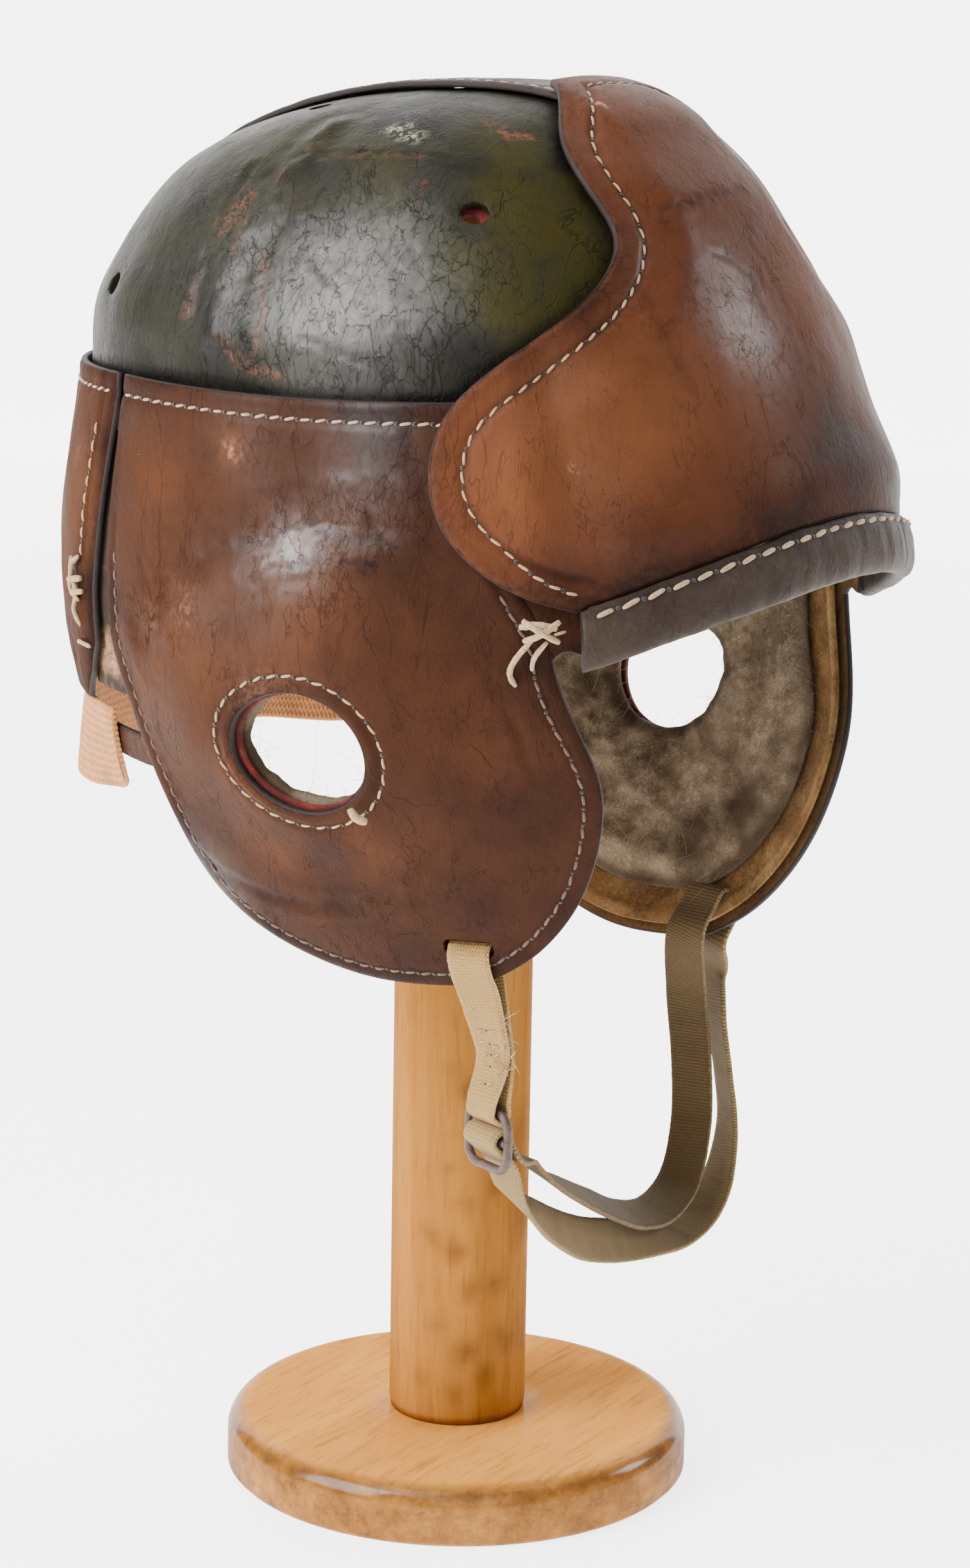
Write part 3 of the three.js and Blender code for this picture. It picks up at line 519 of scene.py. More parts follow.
def mapped(vector, scale, turn=(0, 0, 0), shift=(0, 0, 0)):
    inputs = {"Vector": vector, "Scale": scale, "Rotation": turn, "Location": shift}
    return put(vector, "Mapping", inputs).outputs[0]


def bumped(height, distance, strength):
    return put(height, "Bump", {"Height": height, "Distance": distance, "Strength": strength}).outputs[0]


# A group's inputs are vectors where they have no number. Its outputs are numbers.
def newGroup(name, inputs, outputs):
    tree = bpy.data.node_groups.new(name, "ShaderNodeTree")
    for title, value in inputs.items():
        kind = "NodeSocketVector" if value is None else "NodeSocketFloat"
        socket = tree.interface.new_socket(name=title, in_out="INPUT", socket_type=kind)
        if value is not None:
            socket.default_value = value
    for title in outputs:
        tree.interface.new_socket(name=title, in_out="OUTPUT", socket_type="NodeSocketFloat")
    return tree, tree.nodes.new("NodeGroupInput").outputs, tree.nodes.new("NodeGroupOutput")


def useGroup(group, inputs):
    return put(next(iter(inputs.values())), "Group", inputs, node_tree=group).outputs


def newFinish(name, settings):
    material = bpy.data.materials.new(name)
    material.use_nodes = True
    shader = material.node_tree.nodes["Principled BSDF"]
    feed(shader, settings)
    return material, shader, put(shader, "TexCoord").outputs["Object"]


# Pores, fine creases and crackle of old hide.
def makeHideGrain():
    tree, given, out = newGroup(
        "hideGrain", {"Place": None, "Pore Scale": 900.0, "Crackle Scale": 420.0, "Crackle Spread": 0.5},
        ("Pores", "Crackle", "Wrinkles", "Mottle", "Scratches"),
    )
    place = given["Place"]
    bent = shiver(place, 60.0, 4.0, 0.02)
    warped = vectors("ADD", place, bent)
    inputs = {"Vector": warped, "Scale": given["Pore Scale"]}
    cells = put(tree, "TexVoronoi", inputs, feature="F1").outputs["Distance"]
    pores = plus(times(cells, 0.7), times(clouds(place, 2600.0, 2.0), 0.4))
    shaky = vectors("ADD", place, vectors("MULTIPLY", bent, (0.3, 0.3, 0.3)))
    shaky = vectors("ADD", shaky, shiver(place, 700.0, 3.0, 0.0019))
    cracks, scratches = [], []
    for turn, size, width, level in (((0.5, 0.3, 0.4), 1.0, 0.06, 0.455), ((-0.6, 0.9, 1.5), 0.42, 0.033, 0.45)):
        drawn = mapped(shaky, (size, size, 0.45 * size), turn)
        inputs = {"Vector": drawn, "Scale": given["Crackle Scale"]}
        cells = put(tree, "TexVoronoi", inputs, feature="DISTANCE_TO_EDGE").outputs["Distance"]
        broken = span(clouds(drawn, 260.0, 3.0), level, level + 0.12)
        cracks.append(times(span(cells, 0.0, width, 1.0, 0.0), broken, True))
    edge = less(1.0, given["Crackle Spread"])
    region = times(less(clouds(place, 40.0, 4.0, 0.65), times(edge, 0.85)), 6.0, True)
    for turn, size, width in (
        ((0.2, 0.6, 0.3), 34.0, 0.006), ((0.9, -0.5, 1.2), 46.0, 0.006), ((-0.7, 0.2, 2.1), 80.0, 0.009),
    ):
        along = mapped(place, (1.0, 1.0, 0.28), turn)
        level = clouds(along, size, 5.0, 0.55, 0.8)
        line = span(calc("ABSOLUTE", less(level, 0.5)), 0.0, width, 1.0, 0.0)
        scratches.append(times(line, span(clouds(along, size * 1.7, 2.0), 0.42, 0.6), True))
    ridged = clouds(mapped(warped, (1.0, 1.0, 0.35), (0.35, 0.5, 0.2)), 260.0, 5.0, 0.7, 1.2)
    feed(out, {
        "Pores": pores, "Crackle": times(most(cracks), region, True), "Scratches": most(scratches),
        "Wrinkles": span(ridged, 0.3, 0.7), "Mottle": span(clouds(warped, 46.0, 6.0, 0.62), 0.32, 0.68),
    })
    return tree


# Small nicks and rubs, strongest along a cut edge.
def makeEdgeWear():
    inputs = {"Place": None, "Edge": 0.0, "Reach": 0.5, "Nick Scale": 300.0}
    tree, given, out = newGroup("edgeWear", inputs, ("Worn",))
    nick = clouds(given["Place"], given["Nick Scale"], 4.0, 0.7)
    push = plus(given["Edge"], times(less(nick, 0.5), 1.4))
    feed(out, {"Worn": times(less(push, less(1.0, given["Reach"])), 3.0, True)})
    return tree


# Ribs across and threads along a woven band, from millimetres across and along it.
def makeBandWeave():
    inputs = {"Run": None, "Rib Pitch": 0.9, "Thread Pitch": 0.7}
    tree, given, out = newGroup("bandWeave", inputs, ("Height", "Shade"))
    parts = put(tree, "SeparateXYZ", {0: given["Run"]}).outputs
    along = plus(parts["Y"], times(clouds(given["Run"], 0.35, 2.0), 0.5))
    rib, thread = (
        calc("SINE", times(calc("DIVIDE", way, given[pitch]), 2 * math.pi))
        for way, pitch in ((along, "Rib Pitch"), (parts["X"], "Thread Pitch"))
    )
    height = span(plus(times(times(rib, thread), 0.35), times(rib, 0.25)), -0.6, 0.6)
    fuzz = clouds(given["Run"], 1.6, 4.0, 0.7)
    feed(out, {"Height": height, "Shade": plus(times(height, 0.5), times(fuzz, 0.5))})
    return tree


# Soft dirt and old stains in cloudy patches.
def makeOldStain():
    tree, given, out = newGroup("oldStain", {"Place": None, "Scale": 40.0, "Cover": 0.4}, ("Stain",))
    cloud = clouds(given["Place"], given["Scale"], 6.0, 0.65, 0.4)
    feed(out, {"Stain": times(less(cloud, less(0.85, times(given["Cover"], 0.6))), 5.0, True)})
    return tree


hideGrain, edgeWear, bandWeave, oldStain = makeHideGrain(), makeEdgeWear(), makeBandWeave(), makeOldStain()


def stained(place, scale, cover):
    return useGroup(oldStain, {"Place": place, "Scale": scale, "Cover": cover})["Stain"]


def wornAt(place, edge, reach, nicks=300.0):
    return useGroup(edgeWear, {"Place": place, "Edge": edge, "Reach": reach, "Nick Scale": nicks})["Worn"]


def leatherFinish(name, look):
    material, shader, place = newFinish(name, {
        "Coat Roughness": look["coatRoughness"], "Coat IOR": look["coatIor"],
        "Specular IOR Level": look["shine"],
    })
    dark, warm, pale, edge, gloss, cracked, scuff = (
        attribute(shader, key) for key in ("dark", "warm", "pale", "edge", "gloss", "cracked", "scuff")
    )
    hide = useGroup(hideGrain, {
        "Place": place, "Pore Scale": look["poreScale"], "Crackle Scale": look["crackleScale"],
        "Crackle Spread": plus(times(cracked, 0.6), look["crackle"], True),
    })
    mottle = hide["Mottle"]
    stain = times(stained(place, look["stainScale"], look["stain"]), look["stainStrength"])
    colour = tint(times(mottle, 0.75), look["main"], look["second"])
    colour = tint(times(warm, ranged(mottle, 0.45, 1.0), True), colour, look["warm"])
    # The dark attribute holds darker leather and, on some pieces, painted shade; old stains add to it.
    colour = tint(plus(times(dark, ranged(mottle, 1.1, 0.6)), stain, True), colour, look["deep"])
    flecks = clouds(place, 520.0, 5.0, 0.75)
    scratch = times(pale, span(flecks, 0.46, 0.6), True)
    colour = tint(scratch, colour, look["pale"])
    colour = tint(times(scuff, span(flecks, 0.48, 0.56), True), colour, look["scuff"])
    lined = calc("MAXIMUM", times(hide["Crackle"], 0.82), times(hide["Scratches"], 0.7))
    colour = tint(times(lined, look["crackleDark"]), colour, look["deep"])
    colour = tint(times(wornAt(place, edge, 0.25), 0.8), colour, look["edge"])
    rough = plus(ranged(mottle, look["rough"] - 0.05, look["rough"] + 0.09), times(scratch, 0.2))
    polish = times(plus(gloss, look["coat"]), ranged(mottle, 1.1, 0.6), True)
    polish = times(polish, span(hide["Wrinkles"], 0.1, 0.9, 0.55, 1.2), True)
    dull = calc("MAXIMUM", times(lined, 0.95), times(scratch, 0.6))
    height = plus(times(hide["Pores"], look["poreDepth"]), times(hide["Wrinkles"], look["wrinkleDepth"]))
    height = less(height, times(lined, look["crackleDepth"]))
    feed(shader, {
        "Base Color": colour, "Roughness": plus(rough, times(lined, 0.15), True),
        "Coat Weight": times(polish, less(1.0, dull), True), "Normal": bumped(height, 0.0006, look["bump"]),
    })
    return material


def cutFinish(name, look):
    material, shader, place = newFinish(name, {"Specular IOR Level": 0.3})
    fibres = clouds(place, 900.0, 5.0, 0.75)
    colour = tint(fibres, look["deep"], look["main"])
    feed(shader, {
        "Base Color": tint(times(wornAt(place, 0.5, look["worn"], 240.0), 0.7), colour, look["pale"]),
        "Roughness": ranged(fibres, 0.55, 0.8), "Normal": bumped(fibres, 0.0004, 0.6),
    })
    return material


# Flesh side of the hide, felt and wool: soft, matt, fibrous and soiled, and darkened by the dark attribute, which
# on the skin, wool and tongue is partly painted shade.
def napFinish(name, look):
    material, shader, place = newFinish(name, {
        "Specular IOR Level": 0.12, "Sheen Weight": look["sheen"], "Sheen Roughness": 0.6,
        "Sheen Tint": (*look["sheenTint"], 1.0),
    })
    dark, pale = attribute(shader, "dark"), attribute(shader, "pale")
    cloud = clouds(place, look["cloudScale"], 5.0, 0.65, 0.5)
    fibres = clouds(place, look["fibreScale"], 5.0, 0.75, 0.8)
    stain = stained(place, look["stainScale"], look["stain"])
    colour = tint(span(cloud, 0.3, 0.7), look["deep"], look["main"])
    colour = tint(times(span(fibres, 0.45, 0.75), look["fleck"]), colour, look["light"])
    colour = tint(times(pale, span(fibres, 0.3, 0.7, 0.4, 1.0), True), colour, look["light"])
    height = plus(times(fibres, 0.7), times(cloud, 0.5))
    feed(shader, {
        "Base Color": tint(plus(dark, times(stain, 0.75), True), colour, look["deep"]),
        "Roughness": ranged(fibres, 0.82, 1.0), "Normal": bumped(height, look["relief"], 0.8),
    })
    return material


def bandFinish(name, look):
    material, shader, place = newFinish(name, {
        "Specular IOR Level": 0.1, "Sheen Weight": 0.06, "Sheen Roughness": 0.55,
    })
    run = attribute(shader, "weave", "Vector")
    weave = useGroup(bandWeave, {"Run": run, "Rib Pitch": look["rib"], "Thread Pitch": look["thread"]})
    stain = stained(place, look["stainScale"], look["stain"])
    worn = wornAt(place, attribute(shader, "edge"), 0.3, 700.0)
    ageing = times(attribute(shader, "aged"), ranged(weave["Shade"], 1.1, 0.8), True)
    colour = tint(weave["Shade"], look["deep"], look["main"])
    colour = tint(ageing, colour, look["aged"])
    colour = tint(times(stain, look["stainStrength"]), colour, look["dirt"])
    feed(shader, {
        "Base Color": tint(times(worn, less(0.5, times(ageing, 0.4)), True), colour, look["light"]),
        "Roughness": ranged(weave["Shade"], 0.8, 0.95), "Normal": bumped(weave["Height"], look["relief"], 0.9),
    })
    return material


def threadFinish(name, light, deep):
    material, shader, place = newFinish(name, {"Specular IOR Level": 0.25, "Sheen Weight": 0.2})
    twist = clouds(place, 1500.0, 3.0, 0.7, 1.5)
    colour = tint(span(twist, 0.3, 0.7), deep, light)
    feed(shader, {
        "Base Color": tint(times(stained(place, 120.0, 0.45), 0.8), colour, deep),
        "Roughness": ranged(twist, 0.6, 0.85), "Normal": bumped(twist, 0.0003, 0.8),
    })
    return material


# What most leathers share. Each leather names what differs.
hideLook = {
    "coat": 0.03, "coatRoughness": 0.4, "coatIor": 1.5, "rough": 0.5, "shine": 0.06, "poreScale": 1000.0,
    "poreDepth": 0.25, "crackleScale": 460.0, "crackle": 0.3, "crackleDark": 0.5, "crackleDepth": 0.8,
    "wrinkleDepth": 0.5, "bump": 0.5, "stain": 0.4, "stainStrength": 0.5,
}
earHide = {
    **hideLook, "main": (0.03, 0.0108, 0.0054), "second": (0.043, 0.0158, 0.0072),
    "warm": (0.08, 0.028, 0.0105),
    "deep": (0.011, 0.0048, 0.0038), "pale": (0.25, 0.12, 0.07), "scuff": (0.2, 0.09, 0.05),
    "edge": (0.013, 0.0055, 0.005), "coat": 0.012, "coatIor": 1.8, "rough": 0.46, "shine": 0.025,
    "poreScale": 850.0,
    "poreDepth": 0.28, "crackleDark": 0.6, "wrinkleDepth": 0.55, "bump": 0.55, "stainScale": 36.0,
}
finishes = {
    "crown": leatherFinish("crownLeather", {
        **hideLook, "main": (0.011, 0.0105, 0.007), "second": (0.017, 0.0152, 0.0068),
        "warm": (0.025, 0.021, 0.0035),
        "deep": (0.003, 0.0026, 0.0022), "pale": (0.12, 0.046, 0.026), "scuff": (0.24, 0.25, 0.18),
        "edge": (0.008, 0.005, 0.004), "coat": 0.07, "coatRoughness": 0.38, "rough": 0.42, "shine": 0.035,
        "poreDepth": 0.16, "crackleScale": 380.0, "crackle": 0.4, "crackleDark": 0.8, "crackleDepth": 1.0,
        "bump": 0.55, "stainScale": 45.0,
    }),
    "pad": leatherFinish("padLeather", {
        **hideLook, "main": (0.062, 0.019, 0.008), "second": (0.082, 0.026, 0.0105),
        "warm": (0.115, 0.041, 0.0165),
        "deep": (0.018, 0.007, 0.005), "pale": (0.32, 0.17, 0.1), "scuff": (0.5, 0.3, 0.18),
        "edge": (0.014, 0.006, 0.005), "coat": 0.035, "coatRoughness": 0.34, "rough": 0.44, "shine": 0.02,
        "poreScale": 950.0, "poreDepth": 0.2, "crackleScale": 430.0, "crackleDark": 0.6, "wrinkleDepth": 0.42,
        "stainScale": 38.0, "stain": 0.42, "stainStrength": 0.6,
    }),
    "ear": leatherFinish("earLeather", earHide),
    "back": leatherFinish("backLeather", {**earHide, "coat": 0.004, "shine": 0.004}),
    "strip": leatherFinish("stripLeather", {
        **hideLook, "main": (0.018, 0.012, 0.008), "second": (0.03, 0.017, 0.01), "warm": (0.05, 0.02, 0.009),
        "deep": (0.006, 0.0045, 0.004), "pale": (0.16, 0.09, 0.055), "scuff": (0.16, 0.09, 0.055),
        "edge": (0.04, 0.018, 0.011), "crackle": 0.5, "crackleDepth": 0.6, "stainScale": 50.0,
    }),
    "roll": leatherFinish("rollLeather", {
        **hideLook, "main": (0.03, 0.02, 0.0145), "second": (0.05, 0.0345, 0.0255), "warm": (0.06, 0.03, 0.018),
        "deep": (0.011, 0.008, 0.007), "pale": (0.2, 0.155, 0.12), "scuff": (0.2, 0.15, 0.12),
        "edge": (0.02, 0.011, 0.009), "crackleScale": 480.0, "crackle": 0.45, "crackleDepth": 0.5,
        "wrinkleDepth": 0.7, "bump": 0.6, "stainScale": 60.0, "stain": 0.45,
    }),
    "cut": cutFinish(
        "cutEdge",
        {
            "deep": (0.004, 0.0025, 0.002), "main": (0.014, 0.006, 0.004), "pale": (0.08, 0.032, 0.016),
            "worn": 0.3,
        },
    ),
    "flesh": napFinish("fleshSide", {
        "deep": (0.05, 0.022, 0.007), "main": (0.2, 0.1, 0.03), "light": (0.5, 0.32, 0.14), "sheen": 0.05,
        "sheenTint": (0.8, 0.7, 0.5),
        "cloudScale": 70.0, "fibreScale": 900.0, "stainScale": 60.0, "stain": 0.45, "fleck": 0.35,
        "relief": 0.0005,
    }),
    "tan": napFinish("tanTongue", {
        "deep": (0.012, 0.006, 0.004), "main": (0.27, 0.12, 0.055), "light": (0.8, 0.48, 0.26), "sheen": 0.05,
        "sheenTint": (0.9, 0.8, 0.6),
        "cloudScale": 120.0, "fibreScale": 1000.0, "stainScale": 90.0, "stain": 0.35, "fleck": 0.4,
        "relief": 0.0004,
    }),
    "felt": napFinish("redFelt", {
        "deep": (0.02, 0.004, 0.003), "main": (0.15, 0.013, 0.01), "light": (0.3, 0.06, 0.05), "sheen": 0.08,
        "sheenTint": (0.9, 0.6, 0.55),
        "cloudScale": 60.0, "fibreScale": 1400.0, "stainScale": 50.0, "stain": 0.35, "fleck": 0.35,
        "relief": 0.0006,
    }),
    "wool": napFinish("mattedWool", {
        "deep": (0.06, 0.038, 0.02), "main": (0.26, 0.19, 0.115), "light": (0.54, 0.44, 0.31), "sheen": 0.06,
        "sheenTint": (0.9, 0.85, 0.75),
        "cloudScale": 40.0, "fibreScale": 800.0, "stainScale": 30.0, "stain": 0.47, "fleck": 0.5,
        "relief": 0.0014,
    }),
    "fuzz": threadFinish("woolFibre", (0.27, 0.22, 0.15), (0.15, 0.11, 0.07)),
    "elastic": bandFinish("napeElastic", {
        "main": (0.58, 0.265, 0.095), "deep": (0.3, 0.115, 0.04), "light": (0.75, 0.46, 0.25),
        "dirt": (0.14, 0.06, 0.022), "aged": (0.12, 0.05, 0.02),
        "rib": 1.25, "thread": 1.9, "relief": 0.0008, "stainScale": 90.0, "stain": 0.45, "stainStrength": 0.6,
    }),
    "webbing": bandFinish("khakiWebbing", {
        "main": (0.31, 0.205, 0.08), "deep": (0.16, 0.1, 0.036), "light": (0.32, 0.22, 0.1),
        "dirt": (0.055, 0.032, 0.011), "aged": (0.034, 0.021, 0.0065),
        "rib": 0.95, "thread": 0.8, "relief": 0.00035, "stainScale": 60.0, "stain": 0.5, "stainStrength": 0.6,
    }),
    "tabWebbing": bandFinish("paleWebbing", {
        "main": (0.42, 0.26, 0.085), "deep": (0.19, 0.11, 0.032), "light": (0.6, 0.42, 0.19),
        "dirt": (0.12, 0.065, 0.02), "aged": (0.17, 0.095, 0.03),
        "rib": 0.95, "thread": 0.8, "relief": 0.0005, "stainScale": 110.0, "stain": 0.5, "stainStrength": 0.6,
    }),
    "cream": threadFinish("creamThread", (0.52, 0.36, 0.185), (0.17, 0.095, 0.042)),
    "dirtyThread": threadFinish("dirtyThread", (0.16, 0.085, 0.045), (0.02, 0.01, 0.007)),
    "hole": threadFinish("needleHole", (0.02, 0.012, 0.01), (0.006, 0.004, 0.004)),
}
print("finishes ready,", len(finishes))

sides = {
    "right": {"turn": 1, "sag": 0.0, "forward": 0.0, "slot": 13.0, "tabFrom": 117.0},
    "left": {"turn": -1, "sag": 14.5, "forward": 1.3, "slot": 15.4, "tabFrom": 116.5},
}

# Crown.

strip = {
    "halfWidth": 16.0, "thickness": 1.8, "front": 48.0, "back": 143.0, "clearance": 0.35, "columns": 26,
    "rows": 180,
    "stitchAside": 12.2, "stitchFrom": -30.0, "stitchTo": 128.0,
}
# The side edge of the forehead pad as (around, down) places.
padEdge = [
    (31.6, 30), (36.8, 61), (32.8, 80), (30.8, 90.5), (34.8, 100.7), (43.8, 111.5), (56.4, 124.5),
    (63.2, 134.5), (66.2, 147), (65.8, 158.2), (62.1, 168.5), (56.0, 176), (49.0, 180),
]
crown = {
    "thickness": 2.2, "edge": 141.0, "edgeFront": 157.0, "puff": 2.1, "puffAt": 115.0, "puffReach": 13.5,
    "columns": 176, "rows": 118, "dents": 0.35,
    "vents": [(57.1, 82.5), (133.0, 109.4), (139.0, 41.0)], "ventRadius": 3.3, "ventSink": 0.55,
    "ridge": ([(106.5, 50), (101.5, 76), (104.0, 94), (104.5, 106), (103.0, 119)], -0.7, 3.6),
    "creases": [
        ([(95.0, 86), (89.0, 98), (80.5, 106), (75.0, 111.6), (68.0, 113.6)], 0.4, 0.9),
        ([(100.8, 64), (83.0, 62.5), (66.0, 64), (58.0, 66)], 0.22, 0.9),
        ([(92.0, 103), (84.0, 112), (77.0, 116)], 0.3, 0.8),
        ([(98.5, 97), (96.5, 106), (95.5, 120)], 0.35, 0.9),
        ([(101.0, 98), (100.0, 108), (100.5, 118)], 0.35, 0.9),
        ([(107.5, 92), (108.5, 106), (107.0, 120)], 0.4, 1.0),
        ([(113.0, 70), (110.0, 90), (112.0, 108)], 0.3, 1.4),
        ([(72.0, 98), (66.0, 106), (60.0, 110)], 0.22, 0.8),
        ([(91.5, 92), (84.0, 99), (78.0, 101)], 0.22, 0.8),
        ([(88.0, 118), (80.0, 121), (71.0, 124)], 0.25, 0.9),
        ([(70.0, 84), (69.0, 92), (66.5, 99)], 0.2, 0.8),
        ([(69.5, 76), (68.5, 82), (69.2, 88)], 0.22, 0.8),
    ],
    "crackedSpots": [(80, 106, 24, 0.8), (92, 112, 18, 0.6), (70, 112, 18, 0.6), (104, 102, 18, 0.5)],
    "crackLines": [
        ([(91.5, 103.6), (84, 111), (77, 115.6)], 0.8, 0.8), ([(84, 122), (77, 123.4), (71, 124)], 0.8, 0.7),
        ([(95.0, 86), (89.0, 98), (80.5, 106), (75.0, 111.6), (68.0, 113.6)], 0.8, 0.7),
        ([(69.6, 74), (68.6, 82), (69.4, 90)], 0.7, 0.8),
        ([(74, 96), (70, 104), (69, 112)], 0.6, 0.6), ([(64, 96), (62, 104), (57, 111)], 0.6, 0.6),
        ([(88, 104), (82, 104), (76, 101)], 0.6, 0.5),
    ],
    "rubLines": [
        ([(98.5, 97.2), (96, 109.2), (95.5, 120.4)], 1.5, 0.9), ([(108, 80.4), (109.2, 89.2)], 2.6, 1.0),
        ([(106, 86), (103.5, 98)], 1.3, 0.7),
        ([(58, 46.8), (51, 52), (43.8, 55)], 1.2, 1.1), ([(56, 50.8), (49, 55)], 0.9, 0.9),
        ([(102, 60), (104, 74)], 1.0, 0.6),
        ([(91, 103), (83.5, 110), (76, 113)], 1.0, 0.5), ([(101.5, 118), (99, 124), (92, 127)], 1.6, 0.8),
        ([(69.6, 73), (68.8, 83)], 0.8, 0.5),
        ([(98, 66), (84, 63.5), (72, 63)], 0.8, 0.6), ([(110, 104), (109, 114)], 1.4, 0.6),
    ],
    "scuffLines": [
        ([(88, 51.6), (84, 52.6), (80, 54.4), (77, 55.2)], 2.0, 1.0), ([(86, 48.6), (82, 50)], 1.2, 0.7),
    ],
    "warmSpots": [
        (46, 84, 18, 1.0), (50, 100, 16, 0.9), (58, 66, 18, 0.8), (75, 74, 16, 0.4), (42, 70, 12, 0.7),
        (88, 62, 14, 0.35), (120, 60, 20, 0.35),
    ],
    # Dark spots: the four at down 118 to 128 are painted shade above the ear panel's top edge; the others are
    # darker leather.
    "darkSpots": [
        (100, 128, 14, 0.7), (80, 128, 12, 0.7), (60, 118, 10, 0.7), (120, 128, 14, 0.7), (62, 82, 9, 0.5),
        (85, 40, 16, 0.5), (118, 80, 12, 0.5),
    ],
    "glossSpots": [
        (84, 88, 24, 0.5), (74, 104, 22, 1.2), (84, 120, 18, 0.9), (108, 104, 18, 0.5), (104, 88, 14, 0.3),
        (86, 42, 32, -0.5),
    ],
}


def puffAt(around, down):
    swell = crown["puff"] * bell(down - crown["puffAt"], crown["puffReach"])
    return swell * smooth(22, 56, np.abs(around))


def crownEdgeAt(around):
    return crown["edge"] + (crown["edgeFront"] - crown["edge"]) * smooth(50, 42, np.abs(around))


def makeCrown():
    for sideName, side in sides.items():
        u, v = grid(crown["columns"], crown["rows"])
        around = 180 * u
        down = v * crownEdgeAt(around)
        base, ways = onForm(around, down)
        relief = creased(base, [crown["ridge"]] + crown["creases"])
        if side["turn"] < 0:
            relief = relief * 0.5
        seen = onSide(base, side)
        relief = relief + crown["dents"] * cloudy(seen, 26, 3) * smooth(0, 20, down)
        for place in crown["vents"]:
            relief = relief - crown["ventSink"] * bell(np.linalg.norm(base - formBase(*place), axis=-1), 4.2)
        relief = np.clip(relief, -0.9, 1.1)
        lift = puffAt(around, down)
        lifts = lift + relief, lift - crown["thickness"] + np.minimum(relief, 0) * 0.4
        away = np.minimum(crownEdgeAt(around) - down, 60)
        toStrip = np.abs(np.abs(base[..., 0]) - strip["halfWidth"])
        # Painted shadow: dark lines on the crown along the pad's edge, beside the top strip's edges and just above
        # the ear panel's top edge; they also take gloss away there.
        shadow = bell(farFrom(base, formLine(padEdge)), 2.6) + bell(toStrip, 2.0) + bell(down - 131.0, 2.0)
        streaks = cloudy(base * np.array([1, 1, 2.0]), 26, 4)
        seenMarks = 1.0 if side["turn"] > 0 else 0.35 * smooth(-0.1, 0.3, cloudy(seen, 12, 6))
        # Painted shade: the crown darkens within 12 mm of its lower edge, where it runs under the ear panel.
        shade = patches(base, crown["darkSpots"]) + smooth(12, 2, away) * 0.5
        shade = shade + strokes(base, crown["crackLines"]) + 0.9 * shadow
        fields = {
            "dark": held(shade - 0.5 * streaks), "edge": smooth(2.5, 0, away),
            "warm": held(patches(base, crown["warmSpots"]) * (0.8 + 1.4 * streaks)),
            "pale": held(seenMarks * strokes(base, crown["rubLines"]), 1.2),
            "scuff": held(seenMarks * strokes(base, crown["scuffLines"])),
            "cracked": held(patches(base, crown["crackedSpots"])),
            "gloss": patches(base, crown["glossSpots"]) - 0.4 * shadow,
        }
        piece = layWall(
            f"crown_{sideName}_hide", (base, ways), lifts, "crown", [f"crown_{sideName}"],
            fields,
            side, shift=gap / 2,
        )
        radius = crown["ventRadius"]
        outline = [(radius * math.cos(a) * 1.08, radius * math.sin(a) * 0.94) for a in turnsOf(24)]
        cutHoles(piece, [standingCutter(a, d, side, outline) for a, d in crown["vents"]])


makeCrown()

lining = {
    "thickness": 2.0, "clearance": 0.8, "edge": 138.0, "columns": 144, "rows": 48, "lumps": 0.25,
    "ventRadius": 2.7,
    "paleSpots": [(180, 60, 30, 0.3), (40, 100, 25, 0.3)],
}


def makeLining():
    u, v = np.meshgrid(np.arange(lining["columns"]) / lining["columns"], np.linspace(0, 1, lining["rows"]))
    form = base, ways = onForm(360 * u, v * lining["edge"])
    lift = -crown["thickness"] - lining["clearance"]
    lifts = lift, lift - lining["thickness"] + lining["lumps"] * cloudy(base, 9, 11)
    away = lining["edge"] - v * lining["edge"]
    fields = {"dark": smooth(10, 0, away) * 0.4, "pale": held(patches(base, lining["paleSpots"]))}
    piece = layWall("crown_lining_felt", form, lifts, "felt", ["crown_lining"], fields, ringed=True)
    outline = [(lining["ventRadius"] * math.cos(a), lining["ventRadius"] * math.sin(a)) for a in turnsOf(16)]
    # the lining's holes lie a little off the vents, as a loose felt does
    places = [(a + 1.0, d + 1.1) for a, d in crown["vents"][:2]]
    cutHoles(piece, [standingCutter(a, d, side, outline) for a, d in places for side in sides.values()])


makeLining()
print("crown made")

# Stitches and laces.

threads = {"pitch": 4.5, "length": 3.3, "width": 0.78, "height": 0.7, "slant": 9.0, "rings": 7, "sides": 6}


# One capsule for each stitch, and a dark needle hole between two of them.
def stitchShapes(line, ways, values, closed=False):
    run = runOf(line)
    count = max(1, int(run[-1] / values["pitch"]))
    pitch, half = run[-1] / count, values["length"] / 2
    shapes, holes = [], []
    for i in range(count):
        middle = (i + 0.5) * pitch
        start, centre, end = (placeAt(line, run, middle + reach) for reach in (-half, 0, half))
        along, way = unit(end - start), unit(placeAt(ways, run, middle))
        normal = unit(way - along * (way @ along))
        aside = np.cross(normal, along)
        wander = noise.noise(Vector(centre * 0.9))
        slant = math.radians(values["slant"] * (1 + wander))
        c, s = math.cos(slant), math.sin(slant)
        shapes.append((centre, along * c + aside * s, aside * c - along * s, normal, 1 + 0.12 * wander))
        if i < count - 1 or closed:
            at = (i + 1) * pitch
            holes.append((placeAt(line, run, at), unit(placeAt(ways, run, at))))
    return shapes, holes


